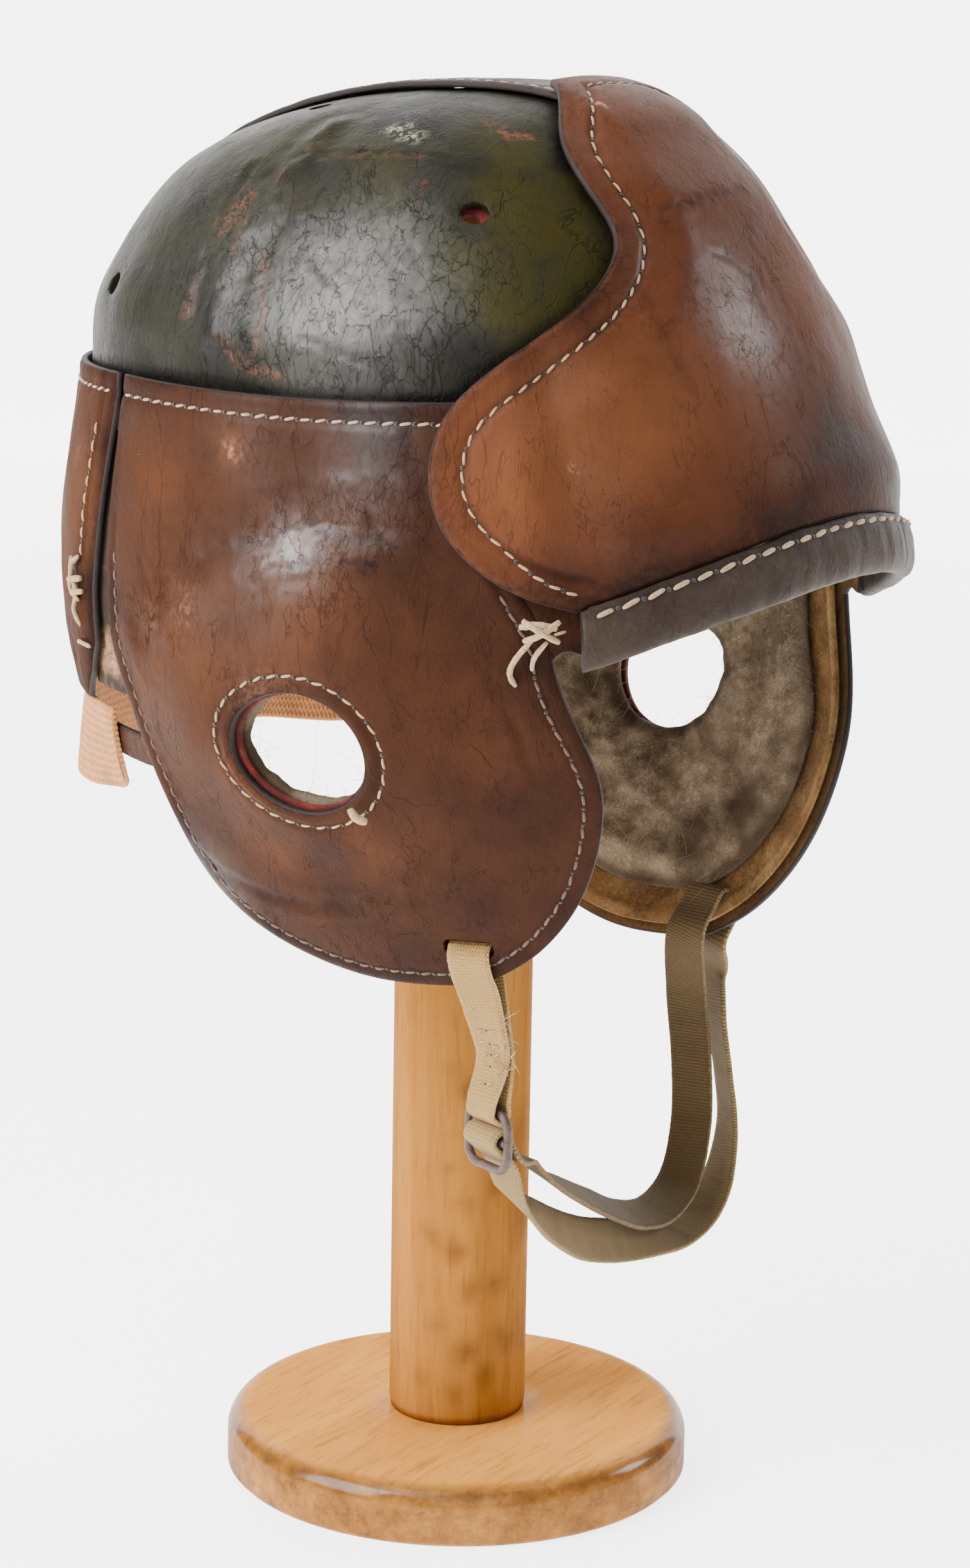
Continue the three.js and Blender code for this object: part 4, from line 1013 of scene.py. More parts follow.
def capsule(centre, along, aside, normal, size, values):
    length, width, height = values["length"], values["width"], values["height"]
    rings, n = values["rings"], values["sides"]
    tip, dip = along * length / 2 * size, normal * height * 0.35
    points = [centre - tip - dip]
    for j in range(rings):
        x = -1 + 2 * (j + 0.6) / (rings + 0.2)
        swell = (1 - abs(x) ** 3) ** 0.5
        rise = height * (0.22 - 0.5 * abs(x) ** 3)
        for i in range(n):
            a = 2 * math.pi * i / n
            across = aside * math.cos(a) * width / 2 * swell
            lift = normal * (rise + math.sin(a) * height / 2 * swell)
            points.append(centre + along * x * length / 2 * size + across + lift)
    points.append(centre + tip - dip)
    return points, spindleFaces(rings, n)


def lens(centre, normal, reach):
    aside = unit(np.cross(normal, np.array([0.3, 0.2, 0.9])))
    points = [centre + normal * 0.16, centre - normal * 0.3]
    points += hoop(centre, aside, np.cross(normal, aside), reach, turnsOf(7))
    faces = []
    for i in range(7):
        a, b = 2 + i, 2 + (i + 1) % 7
        faces += [[0, a, b], [1, b, a]]
    return points, faces


def sew(name, seams, thread="cream", values=threads, holeReach=0.62):
    points, faces, kinds = [], [], []
    for line, ways, closed in seams:
        shapes, holes = stitchShapes(line, ways, values, closed)
        made = [(capsule(*shape, values), 0) for shape in shapes]
        made += [(lens(place, way, holeReach), 1) for place, way in holes]
        for (shapePoints, shapeFaces), kind in made:
            start = len(points)
            points += shapePoints
            faces += [[start + i for i in face] for face in shapeFaces]
            kinds += [kind] * len(shapeFaces)
    return finishPiece(name, meshFrom(name, points, faces, kinds), (thread, "hole"))


# Moves a chart line sideways over the form, towards its inside.
def inset(line, distance, inward):
    base, ways = onForm(*line.T)
    tangent = unit(np.gradient(base, axis=0))
    return base + np.cross(ways, tangent) * distance * inward


# Round laces along lines of points in millimetres.
def lace(name, runs, thread="cream", sidesRound=8):
    points, faces = [], []
    for line, radius in runs:
        path = curveThrough(line, 8)
        faces += liddedFaces(len(points), len(path), sidesRound)
        for j, (p, t) in enumerate(zip(path, unit(np.gradient(path, axis=0)))):
            aside = unit(np.cross(t, np.array([0.13, 0.21, 0.97])))
            taper = 0.55 + 0.45 * math.sin(math.pi * min(1, 4 * min(j + 1, len(path) - j) / len(path)) / 2)
            thick = radius * taper * (1 + 0.15 * noise.noise(Vector(p * 0.8)))
            points += hoop(p, aside, np.cross(t, aside), thick, turnsOf(sidesRound))
    return finishPiece(name, meshFrom(name, points, faces), (thread,))


# Short loose fibres: one mesh of thin bent strands, each from a place and the way it leaves the surface.
def makeFibres(name, roots, values, thread="fuzz"):
    rng = np.random.default_rng(values["seed"])
    points, faces = [], []
    steps = values["steps"]
    for place, way in roots:
        length = values["length"] * (0.4 + 0.9 * rng.random())
        heading = unit(way * values["rise"] + rng.normal(size=3))
        bend = rng.normal(size=3) * values["curl"]
        aside = unit(np.cross(heading, np.array([0.31, 0.17, 0.93])))
        faces += liddedFaces(len(points), steps, 3)
        for j, t in enumerate(np.linspace(0, 1, steps)):
            radius = values["radius"] * (1.0 if j < steps - 1 else 0.35)
            centre = place + heading * length * t + bend * length * t * t
            points += hoop(centre, aside, np.cross(heading, aside), radius, (0.0, 2.094, 4.189))
    return finishPiece(name, meshFrom(name, points, faces), (thread,))


# Top strip.

# A place on the strip, from how far it runs back from the top and how far aside, as a chart place.
def stripPlace(run, aside):
    far = np.abs(run)
    reach = np.where(far < 1, 1.0, np.where(run < 0, frontAt(far), backAt(far)) / np.maximum(far, 1))
    fromAxis = np.degrees(np.arctan2(aside, far * reach))
    return np.where(run < 0, fromAxis, 180 - fromAxis), np.hypot(aside, run)


def makeStrip():
    u, v = grid(strip["columns"], strip["rows"])
    aside = (2 * u - 1) * strip["halfWidth"]
    around, down = stripPlace(-strip["front"] + v * (strip["front"] + strip["back"]), aside)
    form = base, ways = onForm(around, down)
    low = gap + strip["clearance"] + puffAt(around, down)
    toEdge = strip["halfWidth"] - np.abs(aside)
    toStitches = np.abs(aside) - strip["stitchAside"]
    relief = -0.4 * bell(toStitches, 0.9) + 0.18 * cloudy(base, 12, 21) - 0.35 * smooth(1.2, 0, toEdge)
    fields = {
        "dark": held(0.3 + 0.5 * smooth(5, 1, toEdge) + 0.6 * bell(toStitches, 1.4)),
        "warm": held(0.4 * cloudy(base, 20, 22)), "pale": held(0.35 * np.abs(cloudy(base, 14, 23))),
        "edge": smooth(1.6, 0, toEdge),
    }
    lifts = low + strip["thickness"] + relief, low
    rays = raysOn(layWall("top_strip_hide", form, lifts, "strip", ["top_strip"], fields))
    runs = np.arange(strip["stitchFrom"], strip["stitchTo"], 1.5)
    asides = [np.full(runs.shape, sign * strip["stitchAside"]) for sign in (1, -1)]
    seams = [seamOn(rays, *stripPlace(runs, aside), sides["right"]) for aside in asides]
    sew("strip_stitches", seams)


makeStrip()
print("strip made")

# Forehead pad.

pad = {
    "topCentre": 26.0, "browCentre": 163.3, "leather": 2.2, "earLeather": 2.0, "stuffing": 2.7,
    "clearance": 0.8, "overEar": 1.2, "browLift": 3.0,
    "seam": 7.6, "seamDepth": 0.75, "columns": 156, "rows": 126, "dents": 0.3,
    "creases": [
        ([(20.5, 85.8), (12, 83.5), (5, 82.3), (-8, 81.2)], 0.22, 1.0),
        ([(29.2, 106), (29.0, 114.4), (27.5, 121), (26.5, 131)], 0.18, 1.0),
        ([(13, 97), (7, 101), (4, 108), (6, 117)], 0.2, 1.0),
        ([(0, 96), (-2.5, 112), (-3, 127)], 0.14, 1.4),
        ([(38, 106.5), (33, 110), (24, 109)], 0.18, 1.0),
    ],
    "crackedSpots": [
        (11, 110, 13, 0.9), (8, 122, 12, 0.5), (30, 112, 14, 0.5), (44, 130, 16, 0.3), (20, 84, 10, 0.5),
        (30, 150, 16, 0.3),
    ],
    "scuffLines": [([(24.4, 46.4), (22.2, 48.2)], 1.0, 1.2), ([(47.5, 147), (46, 148)], 0.6, 0.9)],
    "darkLines": [
        ([(20.5, 85.8), (12, 83.5), (5, 82.3), (-8, 81.2)], 1.2, 0.5),
        ([(29.2, 106), (28.8, 118), (26.5, 131)], 1.4, 0.35), ([(13, 97), (5, 103), (5, 117)], 1.2, 0.4),
    ],
    "warmSpots": [
        (47, 142, 20, 0.9), (55, 151, 14, 0.6), (36, 136, 18, 0.7), (28, 122, 16, 0.3), (25, 68, 16, 0.12),
        (22, 52, 14, 0.12), (14, 140, 20, 0.3), (-30, 120, 40, 0.4),
    ],
    "darkSpots": [
        (-6, 150, 26, 0.55), (4, 132, 18, 0.35), (38, 167, 14, 0.4), (20, 160, 14, 0.5), (2, 160, 18, 0.7),
        (-20, 160, 25, 0.6), (52, 172, 10, 0.5), (33, 98, 10, 0.5), (40, 112, 9, 0.5), (12, 108, 14, 0.4),
        (-40, 150, 30, 0.5), (-2, 85, 20, 0.3),
    ],
    "glossSpots": [
        (12, 114, 14, 0.55), (13, 99, 11, 0.25), (26, 62, 16, 0.15), (30, 92, 12, 0.3), (46, 126, 12, 0.3),
        (40, 150, 20, 0.2),
    ],
}


def padRaise(around, down):
    aside = np.abs(formBase(around, down)[..., 0])
    onStrip = smooth(33, 20, aside) * smooth(78, 50, down)
    onEar = smooth(47, 55, np.abs(around)) * smooth(112, 126, down)
    onBrow = smooth(138, 165, down) * smooth(60, 40, np.abs(around))
    overStrip = strip["thickness"] + gap + strip["clearance"]
    overEar = pad["earLeather"] + gap + pad["overEar"]
    return overStrip * onStrip + overEar * onEar + pad["browLift"] * onBrow


# A chart place on the pad: u from its right edge to its left, v from the crown to the brow.
def padPlace(u, v):
    rows = np.array(padEdge, float)
    run = runOf(rows * chartScale)
    edgeAround, edgeDown = (naturalSpline(run, column)(v * run[-1]) for column in rows.T)
    centre = pad["topCentre"] + v * (pad["browCentre"] - pad["topCentre"])
    aside = 1 - 2 * u
    return edgeAround * aside, centre + (edgeDown - centre) * aside ** 2


def makePad():
    around, down = padPlace(*grid(pad["columns"], pad["rows"]))
    form = base, ways = onForm(around, down)
    toSide = np.min([farFrom(base, line) for line in (base[:, 0], base[:, -1], base[0])], axis=0)
    toBrow = farFrom(base, base[-1])
    toEdge = np.minimum(toSide, toBrow)
    toSeam = toSide - pad["seam"]
    overStrip = smooth(40, 24, np.abs(base[..., 0])) * smooth(84, 58, down)
    stuffed = smooth(pad["seam"] - 2, pad["seam"] + 13, toSide) * smooth(0, 14, toBrow) * (1 - 0.95 * overStrip)
    seamLine = bell(toSeam, 1.1) * smooth(3, 8, toBrow)
    pucker = 0.14 * np.sin(toBrow * 0.9 + 3 * cloudy(base, 16, 33)) * bell(toSeam, 3.2)
    relief = creased(base, pad["creases"]) + pad["dents"] * cloudy(base, 30, 31) * stuffed
    low = gap + pad["clearance"] + puffAt(around, down) + padRaise(around, down)
    thick = pad["leather"] + pad["stuffing"] * stuffed
    top = low + thick + relief - pad["seamDepth"] * seamLine + pucker - 0.45 * smooth(1.4, 0, toEdge)
    shade = patches(base, pad["darkSpots"]) + strokes(base, pad["darkLines"]) + 0.5 * seamLine
    fields = {
        "dark": held(shade + 0.4 * smooth(6, 1, toEdge) + 0.35 * smooth(15, 3, toBrow)),
        "warm": held(patches(base, pad["warmSpots"])), "pale": 0.03 * smooth(7, 3, toEdge),
        "scuff": held(strokes(base, pad["scuffLines"])), "cracked": held(patches(base, pad["crackedSpots"])),
        "gloss": patches(base, pad["glossSpots"]), "edge": smooth(2.2, 0, toEdge),
    }
    piece = layWall("forehead_pad_hide", form, (top, low), "pad", ["forehead_pad"], fields)
    rays = raysOn(piece)
    rows = np.linspace(0, 1, 200)
    distance = pad["seam"] * (1 - 0.5 * smooth(0.88, 1.0, rows))[:, None]
    seams = []
    for u, inward in ((0.0, 1), (1.0, -1)):
        edge = np.stack(padPlace(np.full(rows.shape, u), rows), -1)
        points = evenly(inset(edge, distance, inward), 1.5)[4:]
        seams.append((*settle(rays, points, np.array([formWay(p) for p in points])), False))
    topRow = np.linspace(0.1, 0.9, 60)
    line = np.stack(padPlace(topRow, np.zeros(topRow.shape)), -1)
    seams.append((*settle(rays, inset(line, pad["seam"], -1), formNormal(*line.T)), False))
    sew("pad_stitches", seams)


# The way out of the head form at a point near it.
def formWay(point):
    x, y, z = point
    down = float(np.interp(-z, -sections[:, 1], sections[:, 0]))
    reach = float(frontAt(down) if y < headForm["axisY"] else backAt(down))
    around = math.degrees(math.atan2(-x / max(float(sideAt(down)), 5), -(y - headForm["axisY"]) / max(reach, 5)))
    return formNormal(around, max(down, 4.0))


makePad()
print("forehead pad made")

# Brow roll.

roll = {
    "height": 14.5, "inner": 1.2, "outer": 8.9, "end": 48.4, "power": 0.74, "corner": (49.0, 180.0),
    "around": 40,
    "along": 240, "wrinkle": 0.34, "stitchUp": 1.9,
    "threads": {**threads, "pitch": 6.6, "length": 5.2, "width": 1.25, "height": 1.0, "slant": 7.0},
}


def browLine(around):
    aside = np.abs(around) / roll["corner"][0]
    return pad["browCentre"] + (roll["corner"][1] - pad["browCentre"]) * aside ** 2


def makeRoll():
    n, power, height = roll["around"], roll["power"], roll["height"] / 2
    k, t = np.meshgrid(np.arange(n) / n, np.linspace(0, 1, roll["along"]))
    around = roll["end"] * (1 - 2 * t)
    c, s = np.cos(2 * math.pi * k), np.sin(2 * math.pi * k)
    half, mid = (roll["outer"] - roll["inner"]) / 2, (roll["outer"] + roll["inner"]) / 2
    lift = mid + half * np.sign(c) * np.abs(c) ** power
    sink = browLine(around) + gap + height + height * np.sign(s) * np.abs(s) ** power
    points = formPoint(around, sink, lift)
    first = around[:, :1]
    outward = unit(points - formPoint(first, browLine(first) + gap + height, np.full(first.shape, mid)))
    wrinkles = roll["wrinkle"] * cloudy(points * np.array([1.0, 1.0, 0.35]), 5.5, 41) * smooth(-0.2, 0.6, c)
    points = points + outward * (wrinkles + 0.3 * cloudy(points, 16, 42))[..., None]
    rings = list(points)
    # two smaller rings close each end
    for end in (0, -1):
        centre = rings[end].mean(0)
        wide, narrow = (centre + (rings[end] - centre) * f for f in (0.86, 0.45))
        rings = [*rings, wide, narrow] if end else [narrow, wide, *rings]
    flat = np.concatenate(rings)
    kinds = np.repeat([1 if j < 2 or j > len(rings) - 4 else 0 for j in range(len(rings) - 1)], n)
    under = np.tile(smooth(0.3, -0.8, c[0]), len(rings))
    seam = np.tile(bell(k[0] - 0.86, 0.05), len(rings))
    fields = {
        "dark": held(0.25 + 0.4 * under + 0.5 * seam), "warm": 0.35 * under,
        "pale": held(0.1 * cloudy(flat, 14, 43)), "edge": np.zeros(len(flat)),
    }
    mesh = meshFrom("brow_roll_hide", flat, liddedFaces(0, len(rings), n), [*kinds, 1, 1], fields)
    piece = finishPiece("brow_roll_hide", mesh, ("roll", "cut"), ["brow_roll"])
    turns = np.linspace(roll["end"] - 1.2, -roll["end"] + 1.2, 140)
    seam = seamOn(raysOn(piece), turns, browLine(turns) + gap + roll["stitchUp"], sides["right"])
    sew("brow_stitches", [seam], values=roll["threads"])


makeRoll()
print("brow roll made")

# Ear panels.

ear = {
    "leather": 2.0, "bulge": 5.4, "bulgeCentre": (88.0, 207.0), "bulgeReach": 50.0, "bulgeFlat": 0.35,
    "clearance": 0.3, "overCrown": 0.6,
    "felt": 1.6, "wool": 5.0, "layerGap": 0.85, "woolGap": 1.15, "skin": 0.9,
    "hole": {"around": 86.9, "down": 219.0, "halfWidth": 16.4, "halfHeight": 15.6},
    "outline": [
        (120.7, 131.5), (121.7, 146), (121.8, 160.5), (122.2, 173.8), (122.4, 187), (122.0, 201), (119.6, 216),
        (117.8, 231.7),
        (115.8, 247), (112.0, 265), (103.2, 278.5), (90.5, 286.2), (80.2, 288), (71.5, 287), (64.8, 285),
        (60.0, 280.5),
        (54.1, 272), (48.0, 256), (45.2, 238), (45.4, 225), (47.6, 214.5), (50.6, 203), (52.2, 193.3),
        (53.4, 185),
        (57.0, 172), (58.6, 158), (58.6, 144), (57.6, 131.5),
    ],
    "topEdge": [(57.6, 131.5), (75.0, 132.0), (90.0, 132.4), (105.0, 132.2), (120.7, 131.5)],
    "spokes": 300, "rings": 66, "slotAt": (65.5, 272.5), "slotHeight": 5.0, "layerTop": 144.5,
    "seamDown": 4.9, "edgeSeam": 4.2, "edgeSeamFrom": 176, "ringSeam": 4.0, "dents": 0.3,
    "edgeThreads": {**threads, "width": 0.8, "height": 0.7},
    "creases": [
        ([(113, 196), (107, 181), (99, 170), (88, 163), (74, 161)], 1.1, 4.6),
        ([(96.2, 169.6), (91.5, 166.2), (85.2, 164.0), (79.2, 164.8), (73.8, 165.6)], 0.42, 0.85),
        ([(93.2, 177.2), (88.0, 172.8), (82.0, 171.0), (75.5, 170.6), (70.2, 171.6)], 0.34, 0.8),
        ([(91.0, 174.0), (86.0, 169.2), (80.5, 168.0)], 0.3, 0.8),
        ([(88.0, 166.5), (83.0, 162.0), (76.5, 161.5)], 0.26, 0.8),
        ([(92.0, 181.5), (87.5, 177.0), (82.5, 175.5)], 0.2, 0.8),
        ([(78.5, 174.0), (74.0, 178.0), (70.5, 184.0)], 0.2, 0.9),
        ([(99.5, 174.0), (103.0, 183.6), (106.5, 192.4)], 0.22, 1.1),
        (
            [
                (119.0, 247.0), (111.0, 258.5), (99.8, 264.4), (87.2, 264.2), (77.5, 258.0), (70.0, 247.6),
                (65.5, 236.0),
            ],
            0.5, 1.9,
        ),
        ([(114.5, 176.0), (111.5, 186.0), (112.8, 198.0)], 0.3, 1.0),
        ([(69.0, 140.0), (68.0, 152.0), (66.5, 165.0)], 0.3, 1.6),
        ([(60.0, 196.0), (57.0, 208.0), (54.0, 222.0)], 0.3, 1.6),
    ],
    "crackedSpots": [
        (88, 168, 13, 0.9), (78, 168, 12, 0.9), (82, 176, 11, 0.6), (112, 192, 10, 0.7), (60, 200, 12, 0.5),
        (98, 150, 14, 0.3), (70, 152, 14, 0.4),
    ],
    # Dark lines along the creases; the broad one under the bulge, down 247 to 264, is painted shade below it.
    "darkLines": [
        ([(96.2, 169.6), (91.5, 166.2), (85.2, 164.0), (79.2, 164.8), (73.8, 165.6)], 1.0, 0.8),
        ([(93.2, 177.2), (88.0, 172.8), (82.0, 171.0), (75.5, 170.6)], 0.9, 0.6),
        ([(110.5, 190.4), (112.0, 194), (112.8, 197.6)], 1.0, 0.7),
        ([(119.0, 247.0), (111.0, 258.5), (99.8, 264.4), (87.2, 264.2)], 2.0, 0.35),
        ([(114.5, 176.0), (111.5, 186.0), (112.8, 198.0)], 0.9, 0.4),
    ],
    "warmSpots": [
        (102, 194, 14, 0.8), (98.2, 146.4, 5, 0.9), (110.5, 158, 12, 0.5), (84, 184, 12, 0.5),
        (93, 248, 16, 0.55), (97, 226, 10, 0.5), (76, 244, 12, 0.45), (112, 214, 14, 0.5), (88, 196, 14, 0.4),
        (60, 214, 10, 0.3),
    ],
    # Dark spots: those towards the front edge beside the pad and those towards the bottom edge are painted shade;
    # the rest are darker leather.
    "darkSpots": [
        (71.8, 142.8, 14, 0.65), (70, 161, 14, 0.5), (78, 134, 8, 0.5), (88, 156, 12, 0.35),
        (64, 178, 14, 0.45), (57, 230, 14, 0.45), (62, 262, 14, 0.45), (118, 190, 6, 0.5), (87, 240, 8, 0.25),
        (100, 272, 16, 0.5), (54, 200, 8, 0.4), (80, 276, 18, 0.5), (112, 250, 12, 0.4), (86, 252, 16, 0.25),
    ],
    "paleSpots": [
        (98.2, 146.4, 2.6, 0.9), (86, 168, 10, 0.22), (104, 187, 5, 0.3), (112, 192, 4, 0.3), (92, 205, 8, 0.2),
    ],
    "fibres": 900, "rimFibres": 90, "rimReach": 19.5,
    "fibre": {"seed": 5, "length": 3.4, "radius": 0.055, "steps": 6, "rise": 0.35, "curl": 1.1},
    "woolDark": [
        (60, 262, 9, 1.0), (70, 272, 9, 1.0), (75, 236, 10, 0.4), (100, 232, 9, 0.5), (66, 222, 7, 0.5),
    ],
    "glossSpots": [
        (88, 168, 8, 0.75), (92, 178, 15, 0.2), (78, 158, 9, 0.25), (76, 144, 12, 0.4), (96, 144, 12, 0.15),
        (101, 184, 9, 0.1), (112, 262, 10, 0.4),
    ],
}


def earLift(around, down):
    dx = (around - ear["bulgeCentre"][0]) * perDegree
    away = np.hypot(dx, down - ear["bulgeCentre"][1]) / ear["bulgeReach"]
    overCrown = ear["overCrown"] * smooth(150, 140, down)
    bulge = ear["bulge"] * smooth(1, ear["bulgeFlat"], away)
    return gap + ear["clearance"] + overCrown + puffAt(around, down) + bulge


def hung(around, down, side):
    return around - side["forward"] * smooth(150, 230, down), down + side["sag"] * smooth(150, 310, down)


# The outline as even places in flat millimetres from the hole's centre, sharp at its two top corners.
def earOutlineFlat():
    sides = chartLine(ear["outline"], 0.5) * chartScale
    loop = np.concatenate([sides, (chartLine(ear["topEdge"], 0.5) * chartScale)[1:]])
    run = runOf(loop)
    corner = run[len(sides) - 1]
    share = int(round(ear["spokes"] * corner / run[-1]))
    at = np.concatenate([
        np.linspace(0, corner, share, endpoint=False),
        np.linspace(corner, run[-1], ear["spokes"] - share, endpoint=False),
    ])
    return placeAt(loop, run, at) - np.array([ear["hole"]["around"], ear["hole"]["down"]]) * chartScale, share


def earHoleReach(turns):
    return 1 / np.hypot(np.cos(turns) / ear["hole"]["halfWidth"], np.sin(turns) / ear["hole"]["halfHeight"])


# Chart places on turns about the hole, from how far they are from its centre.
def aboutHole(turns, away):
    around = (ear["hole"]["around"] * perDegree + away * np.cos(turns)) / perDegree
    return around, ear["hole"]["down"] + away * np.sin(turns)


earEdge, earTopFrom = earOutlineFlat()
earAngle = np.arctan2(earEdge[:, 1], earEdge[:, 0])
earReach = np.linalg.norm(earEdge, axis=1)


# Places of an ear layer from near the hole to near the outline, as rings over spokes.
def earPlaces(rings, fromHole, fromEdge, top=0.0):
    start = earHoleReach(earAngle) + fromHole
    end = earReach - fromEdge
    rise = -np.sin(earAngle)
    if top:
        end = np.minimum(end, np.where(rise > 0.05, (ear["hole"]["down"] - top) / np.maximum(rise, 0.05), 1e9))
    return aboutHole(earAngle, start + (end - start) * np.linspace(0, 1, rings)[:, None])


def makeEarPanel(sideName, side):
    around, down = earPlaces(ear["rings"], 0.0, 0.0)
    lift = earLift(around, down)
    form = base, ways = onForm(*hung(around, down, side))
    toHole, toEdge = farFrom(base, base[0], True), farFrom(base, base[-1], True)
    toTop = farFrom(base, np.concatenate([base[-1, earTopFrom:], base[-1, :1]]))
    strength = 1 if side["turn"] > 0 else 0.6
    relief = strength * creased(base, ear["creases"]) + ear["dents"] * cloudy(onSide(base, side), 22, 51)
    lowSeam = bell(toEdge - ear["edgeSeam"], 0.9) * smooth(160, 172, down)
    grooves = 0.45 * bell(toTop - ear["seamDown"], 1.0) + 0.4 * lowSeam + 0.55 * bell(toHole - ear["ringSeam"], 1.0)
    nearRim = np.minimum(toHole, toEdge)
    top = lift + ear["leather"] + relief * smooth(0, 6, nearRim) - grooves - 0.4 * smooth(1.3, 0, nearRim)
    top = top + 0.35 * bell(toHole - 1.6, 1.4)
    shade = patches(base, ear["darkSpots"]) + strokes(base, ear["darkLines"]) + 0.35 * cloudy(base, 14, 53)
    fields = {
        "dark": held(shade + 0.45 * grooves + 0.45 * smooth(7, 1.5, toEdge) + 0.25 * smooth(5, 1, toHole)),
        "warm": held(patches(base, ear["warmSpots"])), "cracked": held(patches(base, ear["crackedSpots"])),
        "pale": held(patches(base, ear["paleSpots"]), 1.2), "gloss": patches(base, ear["glossSpots"]),
        "edge": smooth(2.0, 0, nearRim),
    }
    name = f"ear_panel_{sideName}"
    piece = layWall(f"{name}_hide", form, (top, lift), "ear", [name], fields, side, ringed=True)
    outline = roundedOblong(side["slot"] / 2, ear["slotHeight"] / 2, ear["slotHeight"] * 0.35, (0, 30, 60, 90))
    cutHoles(piece, [standingCutter(*hung(*ear["slotAt"], side), side, outline, 30)])
    rays = raysOn(piece)

    def seamAlong(line, closed=False):
        return seamOn(rays, *hung(*line.T, side), side, closed)

    topLine = chartLine([(a, d + ear["seamDown"]) for a, d in ear["topEdge"]])
    ring = chartLoop(*aboutHole(earAngle, earHoleReach(earAngle) + ear["ringSeam"]))
    sew(f"ear_seam_{sideName}", [seamAlong(topLine), seamAlong(ring, True)])
    low = np.stack(aboutHole(earAngle, earReach - ear["edgeSeam"]), -1)[:earTopFrom]
    lowLine = chartEven(low[low[:, 1] > ear["edgeSeamFrom"]])
    sew(f"ear_edge_stitches_{sideName}", [seamAlong(lowLine)], "dirtyThread", ear["edgeThreads"])


def chartLoop(around, down):
    order = np.argsort(np.arctan2(down - down.mean(), (around - around.mean()) * perDegree))
    rows = np.stack([around[order], down[order]], -1)
    return chartEven(np.concatenate([rows, rows[:1]]))


# The felt ring at the hole, the thin skin behind the panel and the wool against the ear.
def makeEarLayers(sideName, side):
    lowest = ear["layerGap"] + ear["felt"]
    drop = lowest + ear["woolGap"] + ear["wool"]

    # top and under are millimetres below the panel's inner face
    def layer(name, places, top, under, kind, slot, replaces, fields, roughen=None):
        lift = earLift(*places)
        base, ways = onForm(*hung(*places, side))
        seen, toHole, toEdge = onSide(base, side), farFrom(base, base[0], True), farFrom(base, base[-1], True)
        below = lift - under + (roughen(seen, toHole, toEdge) if roughen else 0)
        shades = fields(seen, toHole, toEdge)
        return layWall(name, (base, ways), (lift - top, below), kind, replaces, shades, side, ringed=True)

    def ringFields(base, toHole, toEdge):
        return {"dark": held(0.35 + 0.9 * cloudy(base, 8, 62)), "pale": held(0.4 * cloudy(base, 6, 61))}

    def skinFields(base, toHole, toEdge):
        # Painted shade: the skin is darker more than 9 mm in from its edge, where it runs under the wool, and over
        # its upper back part, which also loses its pale.
        rear = smooth(28, 42, base[..., 1]) * smooth(224, 249, base[..., 2])
        dark = 0.2 * smooth(3, 0.5, toEdge) + 0.45 * cloudy(base, 12, 63) + 0.5 * smooth(9, 15, toEdge) + rear
        pale = 0.9 * bell(toEdge - 1.2, 0.9) + 0.5 * cloudy(base, 9, 64)
        return {"dark": held(dark), "pale": held(pale * (1 - rear))}

    def skinRelief(base, toHole, toEdge):
        return 0.25 * cloudy(base, 7, 65) - 0.5 * bell(toEdge - 1.6, 1.2)

    def woolFields(base, toHole, toEdge):
        lumps = cloudy(base, 13, 71)
        # Painted shade: darker near the edge and the hole, where the pile thins, and in the hollows between its
        # lumps; the lumps' tops are painted paler as a painted highlight.
        dark = 0.8 * smooth(5, 0, toEdge) + 0.7 * smooth(4, 0, toHole) + 0.45 * smooth(0.1, -0.6, lumps)
        return {
            "dark": held(dark + patches(base, ear["woolDark"], side["turn"])),
            "pale": held(0.35 * smooth(-0.1, 0.6, lumps)),
        }

    def woolRelief(base, toHole, toEdge):
        edges = (ear["wool"] - 1.2) * (1 - smooth(0, 9, toEdge)) + 1.4 * (1 - smooth(0, 4, toHole))
        return edges - 1.5 * cloudy(base, 13, 71) * smooth(1, 8, toEdge) - 0.55 * cloudy(base, 4.5, 72)

    turns = turnsOf(120)
    ring = aboutHole(turns, earHoleReach(turns) + np.linspace(-0.6, 8.2, 9)[:, None])
    layer(f"ear_felt_{sideName}_ring", ring, ear["layerGap"], lowest, "felt", "red_felt", (), ringFields)
    skin = earPlaces(24, 9.0, 2.0, ear["layerTop"])
    layer(
        f"ear_skin_{sideName}", skin, lowest - ear["skin"], lowest, "flesh", "flesh_leather",
        [f"ear_felt_{sideName}"], skinFields, skinRelief,
    )
    pile = earPlaces(46, 0.0, 12.0, ear["layerTop"])
    wool = layer(
        f"ear_wool_{sideName}_pile", pile, drop - ear["wool"], drop, "wool", "wool",
        [f"ear_wool_{sideName}"], woolFields, woolRelief,
    )
    rng = np.random.default_rng(17 + side["turn"])
    hole = hung(ear["hole"]["around"], ear["hole"]["down"], side)
    holeCentre = onSide(formPoint(*hole, earLift(*hole) - drop), side)
    outward = onSide(formNormal(*hole), side)
    roots, rim = [], []
    for face in wool.data.polygons[len(wool.data.polygons) // 2:]:
        place, normal = np.array(face.center) / mm, np.array(face.normal)
        if normal @ outward > -0.3:
            continue
        (rim if np.linalg.norm(place - holeCentre) < ear["rimReach"] else roots).append((place, normal))
    chosen = []
    for group, count in ((roots, ear["fibres"]), (rim, ear["rimFibres"])):
        chosen += [group[k] for k in rng.choice(len(group), min(count, len(group)), replace=False)]
    makeFibres(f"ear_wool_{sideName}_fibres", chosen, ear["fibre"])


for sideName, side in sides.items():
    makeEarPanel(sideName, side)
    makeEarLayers(sideName, side)
print("ear panels made")

